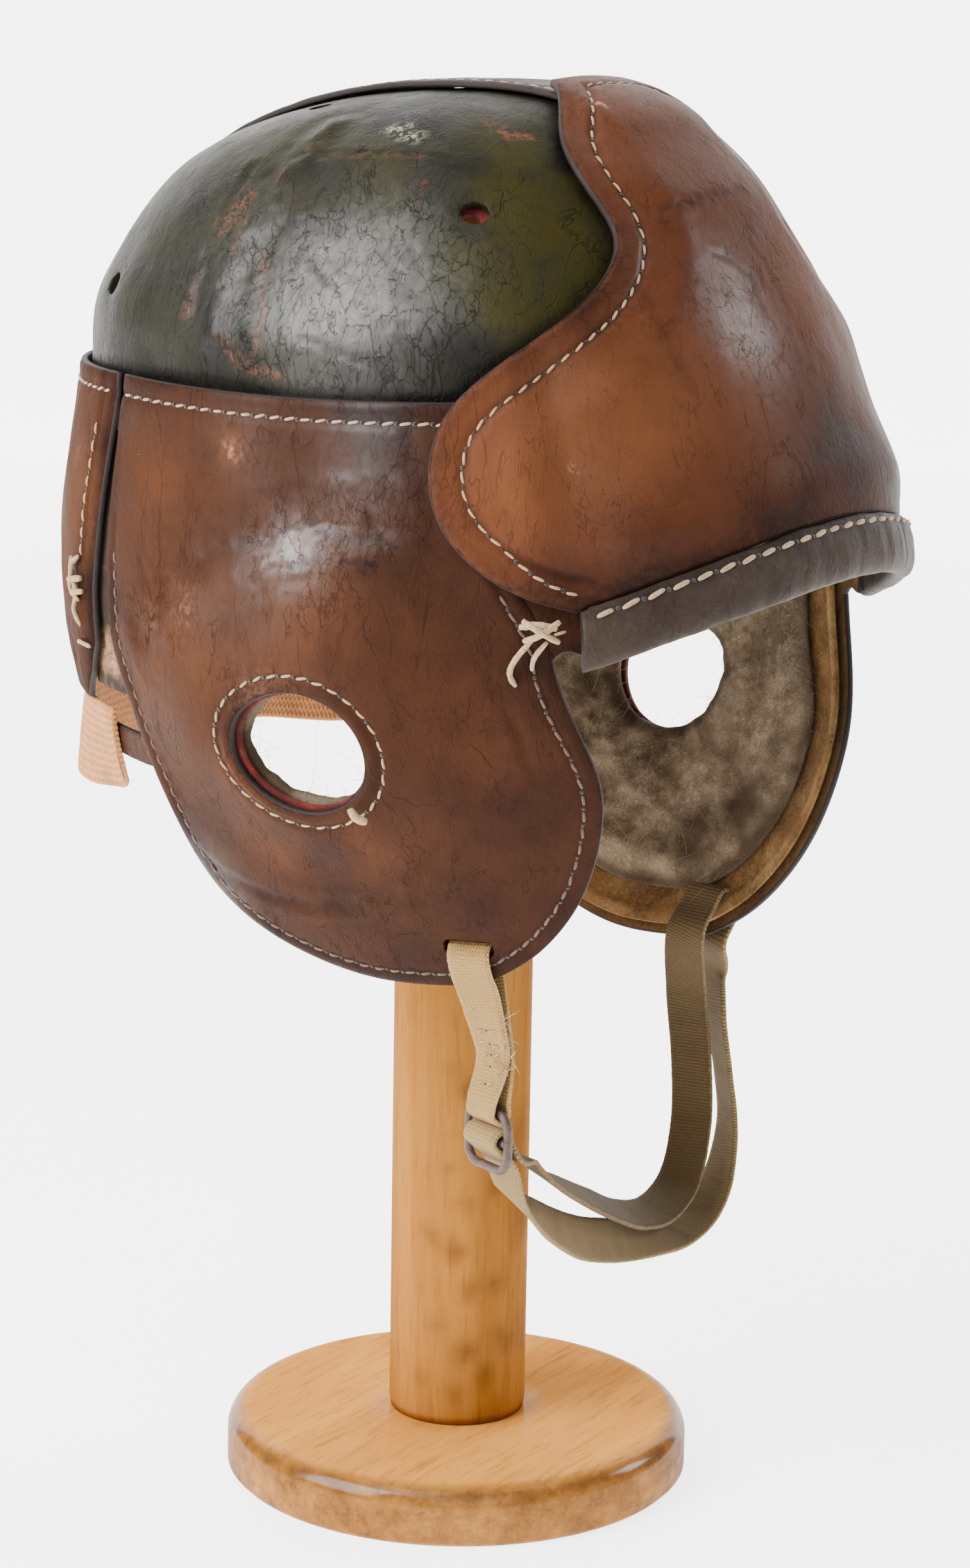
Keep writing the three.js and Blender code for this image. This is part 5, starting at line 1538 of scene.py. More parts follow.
# Back panel, tongues and nape elastic.

back = {
    "edge": [
        (122.7, 131.5), (123.3, 146), (123.8, 160), (124.8, 175), (126.2, 188), (126.6, 202), (130.0, 211),
        (135.0, 219),
    ],
    "topCentre": 131.5, "bottomCentre": 217.0, "leather": 2.2, "columns": 130, "rows": 66,
    "seamDown": 4.9, "sideSeam": 7.0, "sideSeamTo": 181.0, "dents": 0.35,
    "warmSpots": [
        (130, 160, 14, 0.8), (138, 185, 18, 0.6), (160, 170, 26, 0.5), (180, 190, 24, 0.5), (150, 148, 14, 0.4),
    ],
    "darkSpots": [
        (126, 190, 9, 0.6), (127, 207, 8, 0.6), (180, 140, 18, 0.4), (150, 205, 16, 0.4), (124, 150, 5, 0.5),
    ],
}


def backLift(around, down):
    aside = np.abs(formBase(around, down)[..., 0])
    onStrip = smooth(36, 20, aside) * smooth(178, 150, down)
    return gap + pad["clearance"] + puffAt(around, down) + (strip["thickness"] + gap) * onStrip


def makeBack():
    u, v = grid(back["columns"], back["rows"])
    rows = np.array(back["edge"], float)
    run = runOf(rows * chartScale)
    edgeAround, edgeDown = (np.interp(v * run[-1], run, column) for column in rows.T)
    aside = 2 * u - 1
    around = 180 + (180 - edgeAround) * aside
    centre = back["topCentre"] + v * (back["bottomCentre"] - back["topCentre"])
    down = centre + (edgeDown - centre) * aside ** 2
    form = base, ways = onForm(around, down)
    toTop = farFrom(base, base[0])
    toSide = np.minimum(farFrom(base, base[:, 0]), farFrom(base, base[:, -1]))
    toEdge = np.min([toTop, toSide, farFrom(base, base[-1])], axis=0)
    sideSeam = bell(toSide - back["sideSeam"], 1.0) * smooth(back["sideSeamTo"] + 3, back["sideSeamTo"] - 3, down)
    groove = 0.45 * bell(toTop - back["seamDown"], 1.0) + 0.4 * sideSeam
    low = backLift(around, down)
    wrinkles = 0.25 * cloudy(base * np.array([1, 1, 0.4]), 7, 82) * smooth(150, 215, down)
    relief = back["dents"] * cloudy(base, 24, 81) + wrinkles
    top = low + back["leather"] + relief * smooth(0, 6, toEdge) - groove - 0.4 * smooth(1.3, 0, toEdge)
    seen = np.stack([-np.abs(base[..., 0]), base[..., 1], base[..., 2]], -1)
    fields = {
        "dark": held(patches(seen, back["darkSpots"]) + 0.4 * groove + 0.4 * smooth(6, 1, toEdge)),
        "warm": held(patches(seen, back["warmSpots"])), "pale": held(0.25 * cloudy(base, 12, 83) - 0.05),
        "edge": smooth(2.0, 0, toEdge),
    }
    rays = raysOn(layWall("back_panel_hide", form, (top, low), "back", ["back_panel"], fields))
    turns = np.linspace(124.5, 235.5, 150)
    seams = [seamOn(rays, turns, np.full(turns.shape, back["topCentre"] + back["seamDown"]), sides["right"])]
    downs = np.linspace(back["topCentre"] + 13, back["sideSeamTo"], 60)
    edge = np.interp(downs, rows[:, 1], rows[:, 0]) + back["sideSeam"] / perDegree
    seams += [seamOn(rays, turn, downs, sides["right"]) for turn in (edge, 360 - edge)]
    sew("back_stitches", seams)


makeBack()

tongue = {"from": 121.4, "to": 133.0, "top": 147.0, "bottom": 215.0, "lift": -1.3, "thickness": 1.6}
elastic = {
    "top": 220.4, "height": 20.5, "thickness": 1.6, "end": 127.0, "flare": 10.5, "endSag": 3.4,
    "clearance": 0.3,
    "columns": 240, "rows": 30, "ribs": 0.16, "ribPitch": 1.25, "corner": 6.0, "slant": 4.0,
}
tab = {"to": 131.0, "top": 226.0, "bottom": 234.0, "thickness": 1.5}


def makeTongues():
    for sideName, side in sides.items():
        u, v = grid(20, 80)
        around = tongue["from"] + (tongue["to"] - tongue["from"]) * u
        down = tongue["top"] + (tongue["bottom"] - tongue["top"]) * v
        form = base, ways = onForm(around, down)
        lifts = tongue["lift"] + tongue["thickness"] + 0.18 * cloudy(base, 5, 91), tongue["lift"]
        # Painted shade: the tongue is dark above down 196 to 203, where it shows only through the narrow gap
        # between the ear and back panels; it is also darker towards its bottom, from down 207.
        dark = 0.5 * cloudy(base, 6, 92) + 1.1 * smooth(203, 196, down) + 0.9 * smooth(207, 212, down)
        fields = {"dark": held(dark), "pale": held(0.6 * cloudy(base, 4, 93))}
        name = f"side_tongue_{sideName}"
        layWall(f"{name}_hide", form, lifts, "tan", [name], fields, side)
        u, v = grid(24, 14)
        around = side["tabFrom"] + (tab["to"] - side["tabFrom"]) * u
        form = base, ways = onForm(around, tab["top"] + (tab["bottom"] - tab["top"]) * v)
        lifts = gap + 0.1 * cloudy(base, 4, 94) - 0.1, gap - tab["thickness"]
        toEdge = np.minimum(np.minimum(v, 1 - v) * 8, np.minimum(u, 1 - u) * 20)
        fields = {
            "dark": 0.5 * smooth(3, 0, toEdge), "warm": np.zeros(u.shape),
            "pale": held(0.3 * cloudy(base, 4, 95)), "edge": smooth(1.5, 0, toEdge),
        }
        name = f"elastic_tab_{sideName}"
        layWall(f"{name}_hide", form, lifts, "ear", [name], fields, side)


def makeElastic():
    u, v = grid(elastic["columns"], elastic["rows"])
    aside = 2 * u - 1
    around = 180 + (180 - elastic["end"] - elastic["slant"] * v) * aside
    toEnd = (1 - np.abs(aside)) * (180 - elastic["end"]) * perDegree / elastic["corner"]
    cornered = 1 - np.sqrt(1 - (1 - held(toEnd)) ** 2)
    sag = elastic["endSag"] * smooth(0.5, 0.8, np.abs(aside))
    down = elastic["top"] + (elastic["height"] + sag - elastic["corner"] * cornered) * v
    form = base, ways = onForm(around, down)
    along = runOf(base[0])[None, :] * np.ones(u.shape)
    ribs = elastic["ribs"] * np.sin(2 * math.pi * along / elastic["ribPitch"])
    wave = 0.35 * cloudy(base, 14, 101)
    low = gap + elastic["clearance"] + elastic["flare"] * smooth(1, 0.55, np.abs(aside)) * v
    hem = 0.5 * smooth(2.2, 0.4, np.minimum(v, 1 - v) * elastic["height"])
    lifts = low + elastic["thickness"] + ribs * 0.6 + wave * v - hem * 0.4, low - ribs * 0.3 + wave * v
    weave = np.stack([v * elastic["height"], along, np.zeros(u.shape)], -1)
    fields = {"weave": weave, "edge": hem, "aged": held(0.5 * cloudy(base, 9, 103))}
    layWall("neck_elastic_band", form, lifts, "elastic", ["neck_elastic"], fields)


makeTongues()
makeElastic()

browCorner = {
    "edge": [
        (47.4, 190.6), (48.6, 190.4), (49.9, 189.8), (51.6, 191.0), (52.8, 193.6), (54.5, 198.0), (56.5, 200.0),
    ],
    "top": 171.0, "raise": 1.4, "thickness": 1.6, "seam": [(48.9, 185.2), (53.2, 185.8)],
}


# The ear panel's leather that reaches under the pad to the start of the brow roll.
def makeBrowCorners():
    rows = np.array(browCorner["edge"])
    bend = naturalSpline(rows[:, 0], rows[:, 1])
    for sideName, side in sides.items():
        u, v = np.meshgrid(np.linspace(rows[0, 0], rows[-1, 0], 40), np.linspace(0, 1, 40))
        a, d = hung(u, browCorner["top"] + (bend(u) - browCorner["top"]) * v, side)
        form = base, ways = onForm(a, d)
        low = earLift(u, d) + browCorner["raise"]
        lifts = low + 0.3 * cloudy(base, 7, 111), low - browCorner["thickness"]
        toEdge = farFrom(base, base[-1])
        fields = {
            "dark": 0.35 + 0.4 * smooth(4, 0, toEdge), "warm": np.zeros(u.shape),
            "edge": smooth(1.5, 0, toEdge),
        }
        piece = layWall(f"brow_corner_{sideName}_hide", form, lifts, "ear", (), fields, side)
        seam = seamOn(raysOn(piece), *hung(*chartLine(browCorner["seam"]).T, side), side)
        sew(f"brow_corner_{sideName}_stitches", [seam])


# Each lace run is a thickness and (around, down, lift) places. Those of the brow lie round its knot.
laces = {
    "back": [
        (0.8, [(129.6, 180.5, 4.2), (131.5, 184.0, 4.9), (130.4, 188.5, 4.6), (131.8, 192.5, 4.0)]),
        (0.75, [(132.6, 181.5, 4.2), (130.8, 184.5, 5.3), (131.9, 189.0, 4.9), (130.0, 192.0, 4.2)]),
        (0.9, [(128.8, 186.0, 4.0), (130.8, 186.6, 5.6), (132.8, 187.4, 4.2)]),
        (0.8, [(128.6, 189.4, 3.9), (130.6, 190.0, 5.0), (132.4, 191.0, 4.0)]),
        (0.65, [(130.8, 191.5, 4.4), (131.6, 195.0, 4.6), (130.9, 199.0, 3.6)]),
        (0.6, [(127.9, 203.6, 3.7), (130.0, 203.0, 4.5), (132.4, 203.4, 3.9)]),
    ],
    "browKnot": (53.0, 184.4),
    "brow": [
        (0.95, [(3.0, -1.2, 8.6), (1.0, -1.8, 9.8), (-1.4, -1.0, 8.8)]),
        (0.85, [(2.6, 2.2, 7.6), (0.6, 0.4, 10.2), (-1.8, -2.6, 8.8)]),
        (0.85, [(-1.6, 2.4, 7.4), (0.4, -0.2, 10.6), (2.6, -2.8, 9.4)]),
        (0.75, [(1.6, 2.0, 7.4), (3.4, 6.0, 5.4), (4.6, 10.4, 4.4), (3.9, 14.0, 3.3)]),
        (0.65, [(-0.2, 2.4, 7.2), (1.4, 6.4, 5.6), (1.8, 9.8, 3.9)]),
    ],
    "ear": [(1.1, [(76.6, 233.2, 8.9), (77.8, 232.0, 9.9), (78.8, 230.2, 9.2)])],
}


# The knotted lace that draws the back panel to the ear panel, and the knots at the brow corner and ear hole.
def makeLaces():
    def runsOver(runs, side, knot=(0, 0)):
        rows = [(radius, np.array(places).T) for radius, places in runs]
        return [(onSide(formPoint(a + knot[0], d + knot[1], lift), side), radius) for radius, (a, d, lift) in rows]

    for sideName, side in sides.items():
        (radius, (first, middle, last)), *others = laces["brow"]
        middle = (middle[0] - side["forward"] * 0.1, *middle[1:])
        brow = [(radius, [first, middle, last]), *others]
        lace(f"back_lace_{sideName}", runsOver(laces["back"], side))
        lace(f"brow_lace_{sideName}", runsOver(brow, side, laces["browKnot"]))
        lace(f"ear_knot_{sideName}", runsOver(laces["ear"], side))


makeBrowCorners()
makeLaces()
print("back, nape and laces made")

# Straps and slider.

straps = {
    "tabWidth": 11.0, "chinWidth": 13.0, "thickness": 1.3, "buckleCentre": (-58.5, -46.0, 117.0),
    "buckleAcross": (-0.352, -0.936, 0.0), "buckleOut": (-0.936, 0.352, 0.0), "buckleWidth": 19.0,
    "buckleHeight": 17.5, "wire": 2.4, "corner": 4.2, "tabSteps": 260, "chinSteps": 620,
    "darning": [(40, 0.1), (46, -0.15), (51, 0.2), (56, -0.1), (62, 0.12)], "tornFrom": 46, "tornTo": 68,
    "darningThreads": {**threads, "pitch": 2.9, "length": 2.2, "width": 0.55, "height": 0.45, "slant": 14.0},
    "fray": {"seed": 9, "length": 1.5, "radius": 0.13, "steps": 6, "rise": 0.7, "curl": 0.9},
    # how soiled each band is, against the share of its run
    "tabTones": ([0, 0.4, 0.5, 0.62, 1], [0.1, 0.0, 0.5, 0.9, 0.5]),
    "chinTones": (
        [0, 0.08, 0.16, 0.3, 0.5, 0.62, 0.78, 0.9, 0.95, 1],
        [0.0, 0.25, 0.6, 0.75, 0.6, 0.95, 0.9, 0.6, 0.1, 0.0],
    ),
    # free places of the bands in millimetres, each with the way across the band there
    "tabDown": [(-57.0, -46, 137.5, -0.2, -0.98, 0), (-60.5, -46, 148, 0.05, -1, 0)],
    "tabUp": [(-57.6, -45.8, 148, 0.05, -1, 0), (-54.9, -46.2, 137.5, -0.2, -0.98, 0)],
    "chinOut": [
        (-46.5, -46, 98, -0.3, -0.9, -0.25), (-33, -46, 88.5, -0.2, -0.65, -0.7),
        (-14, -46, 78, -0.2, -0.5, -0.85),
        (4, -46, 72, -0.2, -0.5, -0.85), (23, -46, 67.5, -0.15, -0.75, -0.6),
        (41, -46, 64.5, -0.1, -0.95, -0.3),
        (56, -46, 67.5, -0.3, -0.95, -0.1), (66.5, -45.5, 76, -0.5, -0.86, 0), (71, -45, 89, -0.62, -0.78, 0),
        (69.5, -44, 104, -0.64, -0.76, 0), (67, -42.5, 120, -0.6, -0.8, 0), (66.5, -41, 135, -0.5, -0.87, 0),
    ],
    "chinBack": [
        (58.5, -37.5, 128, 0, -1, 0), (61.5, -38, 108, 0, -1, 0), (60.5, -39, 90, 0, -1, 0),
        (52, -40.5, 76, -0.1, -0.97, -0.2), (37, -42, 71.5, -0.1, -0.95, -0.3),
        (20, -43, 74.5, -0.1, -0.9, -0.45),
        (3, -44, 82, -0.1, -0.85, -0.5), (-14, -44.5, 90.5, -0.2, -0.9, -0.4),
        (-29, -45, 98.5, -0.3, -0.9, -0.2),
        (-43, -45.5, 108, -0.35, -0.93, 0),
    ],
}
buckleCentre = np.array(straps["buckleCentre"])
buckleAcross, buckleOut = unit(np.array(straps["buckleAcross"])), unit(np.array(straps["buckleOut"]))
wireRadius = straps["wire"] / 2
limbAt = straps["buckleHeight"] / 2 - wireRadius
loopRadius = wireRadius + 2 * gap + straps["thickness"] / 2


def bucklePoint(aside, out, below):
    return buckleCentre + buckleAcross * aside + buckleOut * out - np.array([0, 0, below])


def atBuckle(out, below):
    return bucklePoint(0, out, below), buckleAcross


def freeRows(rows):
    return [(np.array(row[:3], float), unit(np.array(row[3:], float))) for row in rows]


def slotAcross(around, down):
    n = formNormal(around, down)
    return unit(np.array([-n[1], n[0], 0], float))


def centripetal(points, count):
    points = np.asarray(points, float)
    n = len(points)
    out = []
    for t in np.arange(count) / count * n:
        k = int(t) % n
        f = t - int(t)
        p0, p1, p2, p3 = points[(k - 1) % n], points[k], points[(k + 1) % n], points[(k + 2) % n]
        d0, d1, d2 = (max(np.linalg.norm(b - a) ** 0.5, 1e-4) for a, b in ((p0, p1), (p1, p2), (p2, p3)))
        t1 = ((p1 - p0) / d0 - (p2 - p0) / (d0 + d1) + (p2 - p1) / d1) * d1
        t2 = ((p2 - p1) / d1 - (p3 - p1) / (d1 + d2) + (p3 - p2) / d2) * d1
        out.append(p1 + t1 * f + (-3 * p1 + 3 * p2 - 2 * t1 - t2) * f ** 2 + (2 * p1 - 2 * p2 + t1 + t2) * f ** 3)
    return np.array(out)


# A closed band along rows of a place and the way across, with its path, face and flat ways.
def bandMesh(name, rows, width, steps, tones, ripple, acrossSteps=10):
    thickness = straps["thickness"]
    path = centripetal([at for at, _ in rows], steps)
    wide = np.array([w for _, w in rows])
    marks = np.arange(steps) / steps * len(rows)
    k = marks.astype(int)
    f = (marks - k)[:, None]
    across = unit(wide[k % len(rows)] * (1 - f) + wide[(k + 1) % len(rows)] * f)
    tangent = unit(np.roll(path, -1, axis=0) - np.roll(path, 1, axis=0))
    face = unit(np.cross(tangent, across))
    flat = np.cross(face, tangent)
    run = runOf(path)
    outside = np.linspace(-0.97, 0.97, acrossSteps)
    section = [*((x, 1.0) for x in outside), (1.0, 0.0), *((-x, -1.0) for x in outside), (-1.0, 0.0)]
    wavy = ripple * np.array([noise.fractal(Vector(p / 6.0), 0.9, 2.0, 2) for p in path])
    fray = [0.1 * np.array([noise.noise(Vector((r / 0.9, s * 9.1, 0))) for r in run]) for s in (1, 2)]
    points, weave, edge = [], [], []
    for a, b in section:
        loose = fray[0] if a > 0.9 else -fray[1] if a < -0.9 else np.zeros(steps)
        lift = b * thickness / 2 + wavy * (1 - abs(a))
        points.append(path + flat * (a * width / 2 + loose)[:, None] + face * lift[:, None])
        weave.append(np.stack([np.full(steps, a * width / 2 + (0.4 if b < 0 else 0)), run, np.zeros(steps)], -1))
        edge.append(np.full(steps, smooth(0.8, 1.0, abs(a))))
    n = len(section)
    index = np.arange(steps * n).reshape(steps, n)
    after = np.roll(index, -1, axis=0)
    faces = np.stack([index, np.roll(index, -1, axis=1), np.roll(after, -1, axis=1), after], -1).reshape(-1, 4)
    aged = np.interp(np.arange(steps) / steps, *tones)[:, None] * np.ones(n)
    fields = {"weave": np.stack(weave, 1).reshape(-1, 3), "edge": np.stack(edge, 1).ravel(), "aged": aged.ravel()}
    return meshFrom(name, np.stack(points, 1).reshape(-1, 3), faces, fields=fields), path, face, flat


def makeStraps():
    slotWay = slotAcross(*ear["slotAt"])
    onTab = [(64.8, 286.5, 4.2), (65.4, 279.5, 4.4), (65.5, 273.4, 3.9), (65.5, 272.2, 0.4), (65.5, 272.1, -4.0)]
    onTab += [(65.4, 279.5, -5.2), (64.8, 287.5, -1.5)]
    tabRows = [
        atBuckle(0, -limbAt + loopRadius), atBuckle(loopRadius * 0.92, -limbAt + loopRadius * 0.3),
        atBuckle(loopRadius * 0.9, -limbAt - loopRadius * 0.8), *freeRows(straps["tabDown"]),
        *((formPoint(*place), slotWay) for place in onTab), *freeRows(straps["tabUp"]),
        atBuckle(-loopRadius * 0.9, -limbAt - loopRadius * 0.8),
        atBuckle(-loopRadius * 0.92, -limbAt + loopRadius * 0.3),
    ]
    mesh, *tabLine = bandMesh(
        "tab_strap_band", tabRows, straps["tabWidth"], straps["tabSteps"], straps["tabTones"], 0.45,
    )
    finishPiece("tab_strap_band", mesh, ("tabWebbing",), ["tab_strap"])

    left = sides["left"]
    farAround, farDown = hung(*ear["slotAt"], left)
    farWay = onSide(slotAcross(farAround, farDown), left)
    onChin = [(-14, 4.6), (-7, 4.6), (-0.9, 3.9), (0.1, 0.4), (-0.9, -3.6), (-7, -4.8), (-15, -5.4)]
    farPlaces = [onSide(formPoint(farAround, farDown - up, lift), left) for up, lift in onChin]
    farWays = [farWay] * 6 + [unit(np.array([-0.2, -0.98, 0]))]
    chinRows = [
        atBuckle(loopRadius, 0), atBuckle(-0.3, 3.4), atBuckle(-3.9, limbAt - 0.6),
        *freeRows(straps["chinOut"]),
        *zip(farPlaces, farWays), *freeRows(straps["chinBack"]), atBuckle(-loopRadius - 3.2, 5.2),
        atBuckle(-loopRadius - 0.4, 0.6), atBuckle(-1.2, -loopRadius + 0.1), atBuckle(1.4, -loopRadius + 0.3),
    ]
    mesh = bandMesh(
        "chin_strap_band", chinRows, straps["chinWidth"], straps["chinSteps"], straps["chinTones"], 0.3,
    )[0]
    finishPiece("chin_strap_band", mesh, ("webbing",), ["chin_strap"])
    return tabLine


def bronzeFinish():
    material, shader, place = newFinish("rustyBronze", {"Specular IOR Level": 0.5})
    patina = clouds(place, 420.0, 6.0, 0.7, 0.6)
    rust = stained(place, 260.0, 0.6)
    colour = tint(span(patina, 0.3, 0.7), (0.035, 0.022, 0.018), (0.11, 0.072, 0.058))
    feed(shader, {
        "Base Color": tint(times(rust, 0.8), colour, (0.075, 0.034, 0.022)),
        "Metallic": ranged(rust, 0.55, 0.1),
        "Roughness": span(patina, 0.2, 0.8, 0.38, 0.68), "Normal": bumped(patina, 0.0003, 0.7),
    })
    return material


# The slider's rounded frame, and its bar on the upper limb.
def makeSlider():
    n, halfWidth = 16, straps["buckleWidth"] / 2 - wireRadius
    line = np.array(roundedOblong(halfWidth, limbAt, straps["corner"], range(0, 91, 10)))
    turns = [2 * math.pi * k / n for k in range(n)]
    points = []
    for i, (x, y) in enumerate(line):
        along = unit(line[(i + 1) % len(line)] - line[i - 1])
        for a in turns:
            outward = wireRadius * math.cos(a)
            points.append(bucklePoint(x + along[1] * outward, wireRadius * math.sin(a), -(y - along[0] * outward)))
    count = len(points)
    faces = [[j % count for j in face] for face in tubeFaces(0, len(line) + 1, n)]
    bar = wireRadius * 0.96
    for x in np.linspace(halfWidth, -halfWidth, 12):
        points += [bucklePoint(x, bar * math.cos(a), bar * math.sin(a)) for a in turns]
    mesh = meshFrom("slider_buckle_wire", points, faces + liddedFaces(count, 12, n))
    finishPiece("slider_buckle_wire", mesh, ("bronze",), ["slider_buckle"])


# Rows of darning across the pale tab and the loose threads along its torn edge.
def makeTabThreads(path, face, flat):
    seams = []
    for at, turn in straps["darning"]:
        outward = 1 if face[at] @ buckleOut > 0 else -1
        middle = path[at] + face[at] * outward * (straps["thickness"] / 2 + 0.1)
        across = unit(flat[at] + np.array([0, 0, turn]))
        line = np.array([middle + across * x for x in np.linspace(-4.2, 4.2, 9)])
        seams.append((line, np.tile(face[at] * outward, (9, 1)), False))
    sew("tab_strap_darning", seams, values=straps["darningThreads"], holeReach=0.3)
    roots = []
    for at in range(straps["tornFrom"], straps["tornTo"]):
        aside = flat[at] if flat[at] @ np.array([0.84, -0.54, 0]) > 0 else -flat[at]
        edge = path[at] + aside * (straps["tabWidth"] / 2 - 0.3)
        roots += [(edge + face[at] * lift, aside) for lift in (-0.4, 0.1, 0.5)]
    makeFibres("tab_strap_fray", roots, straps["fray"], "cream")


makeTabThreads(*makeStraps())
finishes["bronze"] = bronzeFinish()
makeSlider()
print("straps made")

# Stand.

stand = {
    "postDiameter": 38.0, "postTop": 374.1, "baseDiameter": 128.6, "baseThickness": 16.5, "baseRound": 6.5,
    "baseChamfer": 1.4, "segments": 128, "light": (0.34, 0.14, 0.025), "main": (0.235, 0.093, 0.015),
    # one dark colour serves both the post's dark marks and the painted shade on the base's side
    "deep": (0.115, 0.04, 0.008), "stain": (0.055, 0.02, 0.007), "markAndShade": (0.04, 0.014, 0.005),
    "topMain": (0.48, 0.19, 0.03), "topLight": (0.57, 0.25, 0.045),
    # dark marks on the post: turn from the front towards the wearer's right, height, reach and strength
    "postMarks": [
        (62, 68, 3.2, 0.7), (47, 56, 3, 0.8), (82, 71, 3, 0.5), (23, 57, 3, 0.7), (50, 38, 3.4, 0.8),
        (15, 40, 4, 0.6),
        (47, 114, 4, 0.8), (-10, 72, 6, 0.5), (-14, 40, 7, 0.4), (28, 86, 2.6, 0.6), (66, 90, 2.4, 0.5),
        (38, 98, 2.4, 0.5), (30, 130, 3.4, 0.5), (60, 120, 2.6, 0.4), (44, 150, 3, 0.5), (75, 46, 2.6, 0.4),
        (34, 30, 3, 0.7), (60, 26, 3, 0.6), (90, 30, 3, 0.4), (0, 100, 8, 0.4), (54, 80, 2.4, 0.5),
    ],
}


def woodFinish(name, stretch, look):
    material, shader, place = newFinish(name, {"Coat Roughness": 0.16, "Specular IOR Level": 0.0})
    edge, dark = attribute(shader, "edge"), attribute(shader, "dark")
    broad = clouds(mapped(place, stretch, shift=(0.3, 0.1, 0.2)), 1.6, 4.0, 0.6, 1.4)
    fine = clouds(mapped(place, tuple(s * 14 for s in stretch)), 1.3, 4.0, 0.7)
    pores = clouds(mapped(place, tuple(s * 40 for s in stretch)), 1.1, 2.0, 0.6)
    uneven = span(clouds(place, 90.0, 5.0, 0.7), 0.3, 0.7, 0.45, 1.05)
    colour = tint(span(broad, 0.35, 0.65), look["main"], look["light"])
    for share, tone in (
        (times(span(fine, 0.5, 0.72), 0.45), "deep"), (times(span(pores, 0.6, 0.75), 0.35), "deep"),
        (times(stained(place, 58.0, 0.38), 0.4), "deep"), (times(stained(place, 190.0, 0.28), 0.45), "stain"),
        # the dark attribute holds the post's dark marks and the painted shade on the base's side, both in one dark
        # colour
        (times(dark, uneven, True), "markAndShade"), (times(edge, 0.55), "deep"),
        (times(wornAt(place, edge, 0.28, 150.0), 0.6), "stain"),
    ):
        colour = tint(share, colour, stand[tone])
    varnish = plus(times(edge, look["rimCoat"]), look["coat"])
    height = plus(times(fine, 0.4), times(pores, 0.5))
    feed(shader, {
        "Base Color": colour, "Roughness": span(fine, 0.3, 0.7, 0.3, 0.46),
        "Coat Weight": times(varnish, span(fine, 0.3, 0.7, 1.1, 0.7), True),
        "Normal": bumped(height, 0.0002, 0.35),
    })
    return material


# A solid turned about the upright axis, from a profile of radii and heights that starts and ends on it.
def turned(name, profile, kind, replaces, edges, shades, marks=()):
    n = stand["segments"]
    turns = [2 * math.pi * k / n for k in range(n)]
    points = [(0, 0, profile[0][1])]
    for radius, height in profile[1:-1]:
        points += [(radius * math.cos(a), radius * math.sin(a), height) for a in turns]
    points.append((0, 0, profile[-1][1]))
    edge, dark = (np.concatenate([[0.0], np.repeat(values[1:-1], n), [0.0]]) for values in (edges, shades))
    loose = shaken(np.array(points, float), 9.0, 2.2, 25)
    reach = stand["postDiameter"] / 2
    for turn, height, size, strength in marks:
        a = math.radians(turn)
        centre = np.array([-reach * math.sin(a), -reach * math.cos(a), height])
        dark += strength * bell(np.linalg.norm(loose - centre, axis=1), size)
    fields = {"edge": edge, "dark": held(dark)}
    mesh = meshFrom(name, points, spindleFaces(len(profile) - 2, n), fields=fields)
    finishPiece(name, mesh, (kind,), replaces)


def makeStand():
    r, foot, top = stand["postDiameter"] / 2, stand["baseThickness"] + 0.3, stand["postTop"]
    profile = [(0, foot), (r - 0.4, foot)] + [(r, float(h)) for h in np.linspace(foot, top - 1.2, 150)[1:]]
    profile += [(r - 0.35, top - 0.35), (r - 1.2, top), (r - 6, top), (0, top)]
    edges = [0.6 * float(smooth(1.5, 0, h - foot)) for _, h in profile]
    turned("stand_post_wood", profile, "postWood", ["stand_post"], edges, [0.0] * len(profile), stand["postMarks"])
    r, t, rounding = stand["baseDiameter"] / 2, stand["baseThickness"], stand["baseRound"]
    profile = [(0, 0), (r - 20, 0), (r - stand["baseChamfer"], 0), (r, stand["baseChamfer"])]
    for a in np.linspace(0, math.pi / 2, 12):
        profile.append((r - rounding + rounding * math.cos(a), t - rounding + rounding * math.sin(a)))
    profile += [(radius, t) for radius in (54, 46, 36, 26, 20)] + [(0, t)]
    # Painted shade: the base's side and outer rounding are darker than its top.
    edges, shades = [], []
    for radius, height in profile:
        atRim = smooth(r - 7, r - 0.5, radius) * (0.3 + 0.7 * smooth(t - rounding, t - 2, height))
        edges.append(float(atRim + 0.3 * smooth(3, 0, abs(radius - 20))))
        shades.append(0.85 * float(smooth(r - 6, r - 0.5, radius)))
    turned("stand_base_wood", profile, "baseWood", ["stand_base"], edges, shades)


finishes["postWood"] = woodFinish("postWood", (26.0, 26.0, 2.2), {
    "coat": 0.035, "rimCoat": 0.0, "main": stand["main"], "light": stand["light"],
})
finishes["baseWood"] = woodFinish("baseWood", (3.0, 26.0, 26.0), {
    "coat": 0.03, "rimCoat": 0.5, "main": stand["topMain"], "light": stand["topLight"],
})
makeStand()
print("stand made")

# Floor and light.

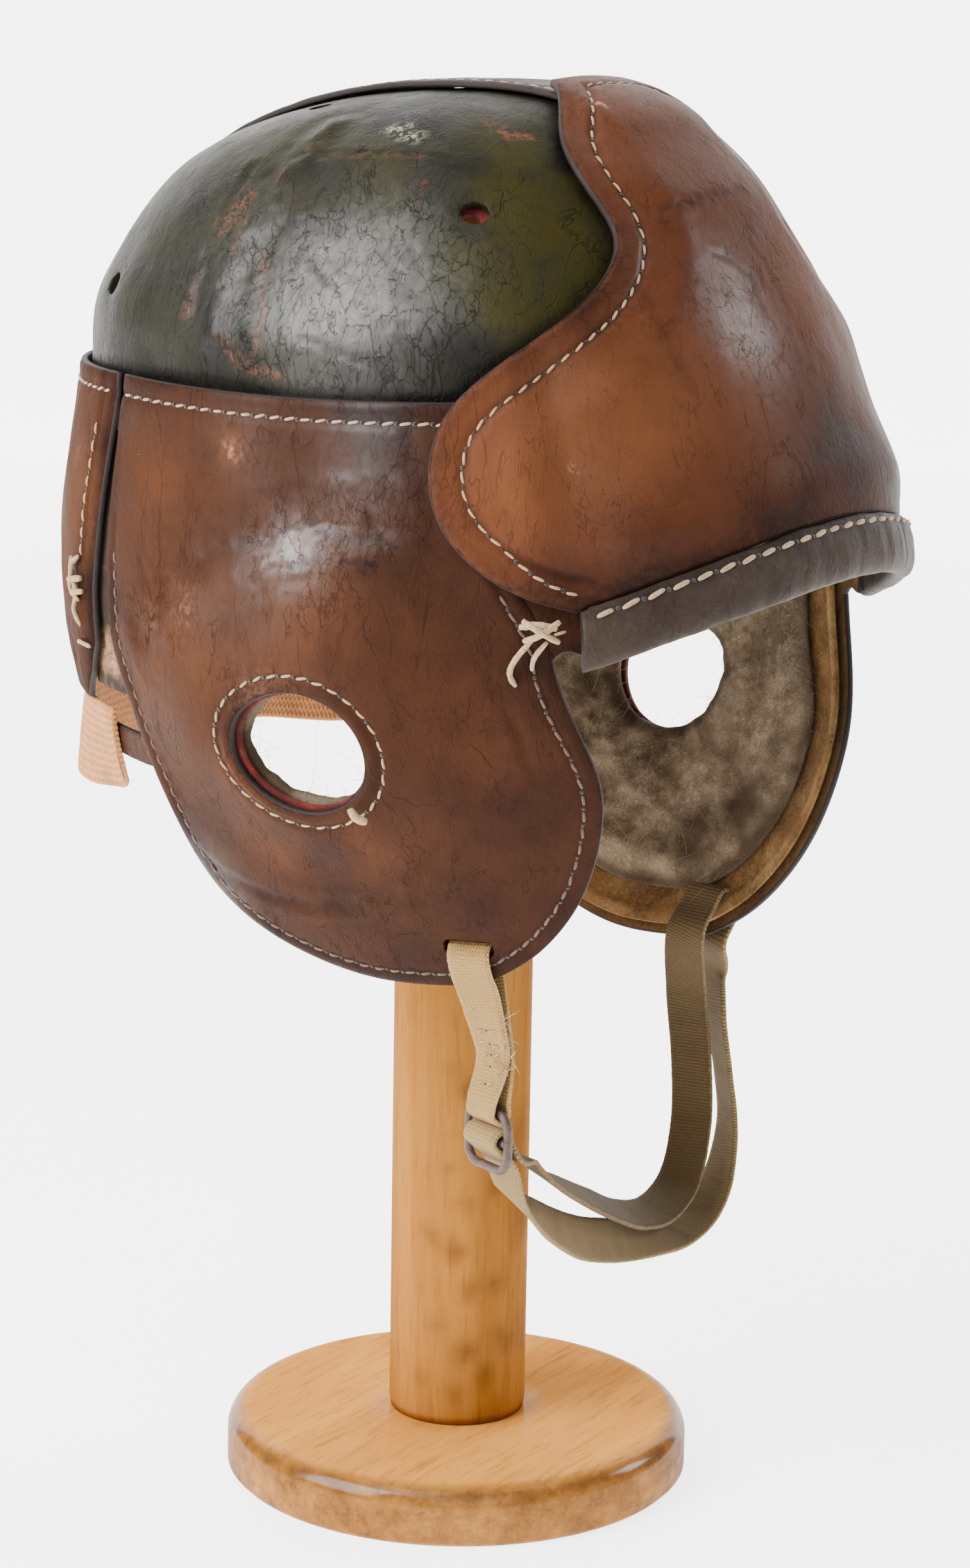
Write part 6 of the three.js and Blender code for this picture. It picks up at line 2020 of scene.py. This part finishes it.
room = {
    "floor": (0.82, 0.82, 0.81), "floorReach": 12.0, "glow": 3.1, "glowFrom": -0.75, "glowTo": -0.15,
    "dimGlow": 0.06,
    "world": (1.0, 1.0, 1.0), "worldStrength": 0.32, "backdropAway": 2.4, "backdropHeight": 3.2,
    "backdropTurn": 42.0, "backdropGlow": 3.1, "backdropSteps": 24, "backdropTone": (1.0, 1.0, 0.995),
    "lamps": [
        # name, place, aimed at, size, power, colour
        ("overhead", (0.1, 0.1, 1.6), (0, 0, 0.25), 1.4, 12.0, (1.0, 0.99, 0.97)),
        ("leftSoft", (-1.12, 0.62, 0.95), (0, 0, 0.27), 1.05, 62.0, (1.0, 0.99, 0.98)),
        ("upperSoft", (-0.9, 0.08, 1.35), (0, 0, 0.28), 0.8, 10.0, (1.0, 0.995, 0.98)),
        ("rightSoft", (1.0, -0.88, 0.78), (0, 0, 0.28), 0.42, 10.0, (1.0, 1.0, 1.0)),
        ("cameraFill", (-1.5, -1.3, 1.3), (0, 0, 0.25), 1.6, 16.0, (1.0, 1.0, 1.0)),
    ],
}


def stageSheet(name, points, faces, glow):
    sheet = bpy.data.objects.new(name, meshFrom(name, np.array(points, float) / mm, faces))
    bpy.context.scene.collection.objects.link(sheet)
    material, shader, place = newFinish(name + "Paper", {"Specular IOR Level": 0.05, "Emission Strength": glow})
    cloud = clouds(place, 9.0, 4.0, 0.6)
    feed(shader, {
        "Base Color": tint(span(cloud, 0.3, 0.7), room["floor"], tuple(c * 0.97 for c in room["floor"])),
        "Roughness": span(cloud, 0.3, 0.7, 0.55, 0.7),
    })
    sheet.data.materials.append(material)
    return shader, place


def makeRoom():
    reach = room["floorReach"]
    corners = [(-reach, -reach, 0), (reach, -reach, 0), (reach, reach, 0), (-reach, reach, 0)]
    shader, place = stageSheet("floor", corners, [[0, 1, 2, 3]], room["glow"])
    turn = math.radians(viewpoint["turn"])
    away = (math.sin(turn), math.cos(turn), 0)
    behind = put(place, "VectorMath", {0: place, 1: away}, operation="DOT_PRODUCT").outputs["Value"]
    glow = span(behind, room["glowFrom"], room["glowTo"], room["dimGlow"], 1.0)
    feed(shader, {"Emission Color": put(glow, "CombineColor", {0: glow, 1: glow, 2: glow}).outputs[0]})
    points, steps = [], room["backdropSteps"]
    for i in range(steps + 1):
        a = turn + math.radians(room["backdropTurn"]) * (2 * i / steps - 1)
        x, y = math.sin(a) * room["backdropAway"], math.cos(a) * room["backdropAway"]
        points += [(x, y, 0.0), (x, y, room["backdropHeight"])]
    faces = [[2 * i, 2 * i + 1, 2 * i + 3, 2 * i + 2] for i in range(steps)]
    shader = stageSheet("backdrop", points, faces, room["backdropGlow"])[0]
    feed(shader, {"Emission Color": (*room["backdropTone"], 1.0)})
    world = bpy.data.worlds.new("studio")
    world.use_nodes = True
    feed(world.node_tree.nodes["Background"], {"Color": (*room["world"], 1.0), "Strength": room["worldStrength"]})
    bpy.context.scene.world = world
    for name, place, aim, size, power, colour in room["lamps"]:
        data = bpy.data.lights.new(name, "AREA")
        data.shape = "SQUARE"
        data.size = size
        data.energy = power
        data.color = colour
        lamp = bpy.data.objects.new(name, data)
        lamp.location = place
        lamp.rotation_mode = "QUATERNION"
        lamp.rotation_quaternion = (Vector(aim) - Vector(place)).to_track_quat("-Z", "Y")
        bpy.context.scene.collection.objects.link(lamp)


makeRoom()

print("done,", len(pieces), "pieces")
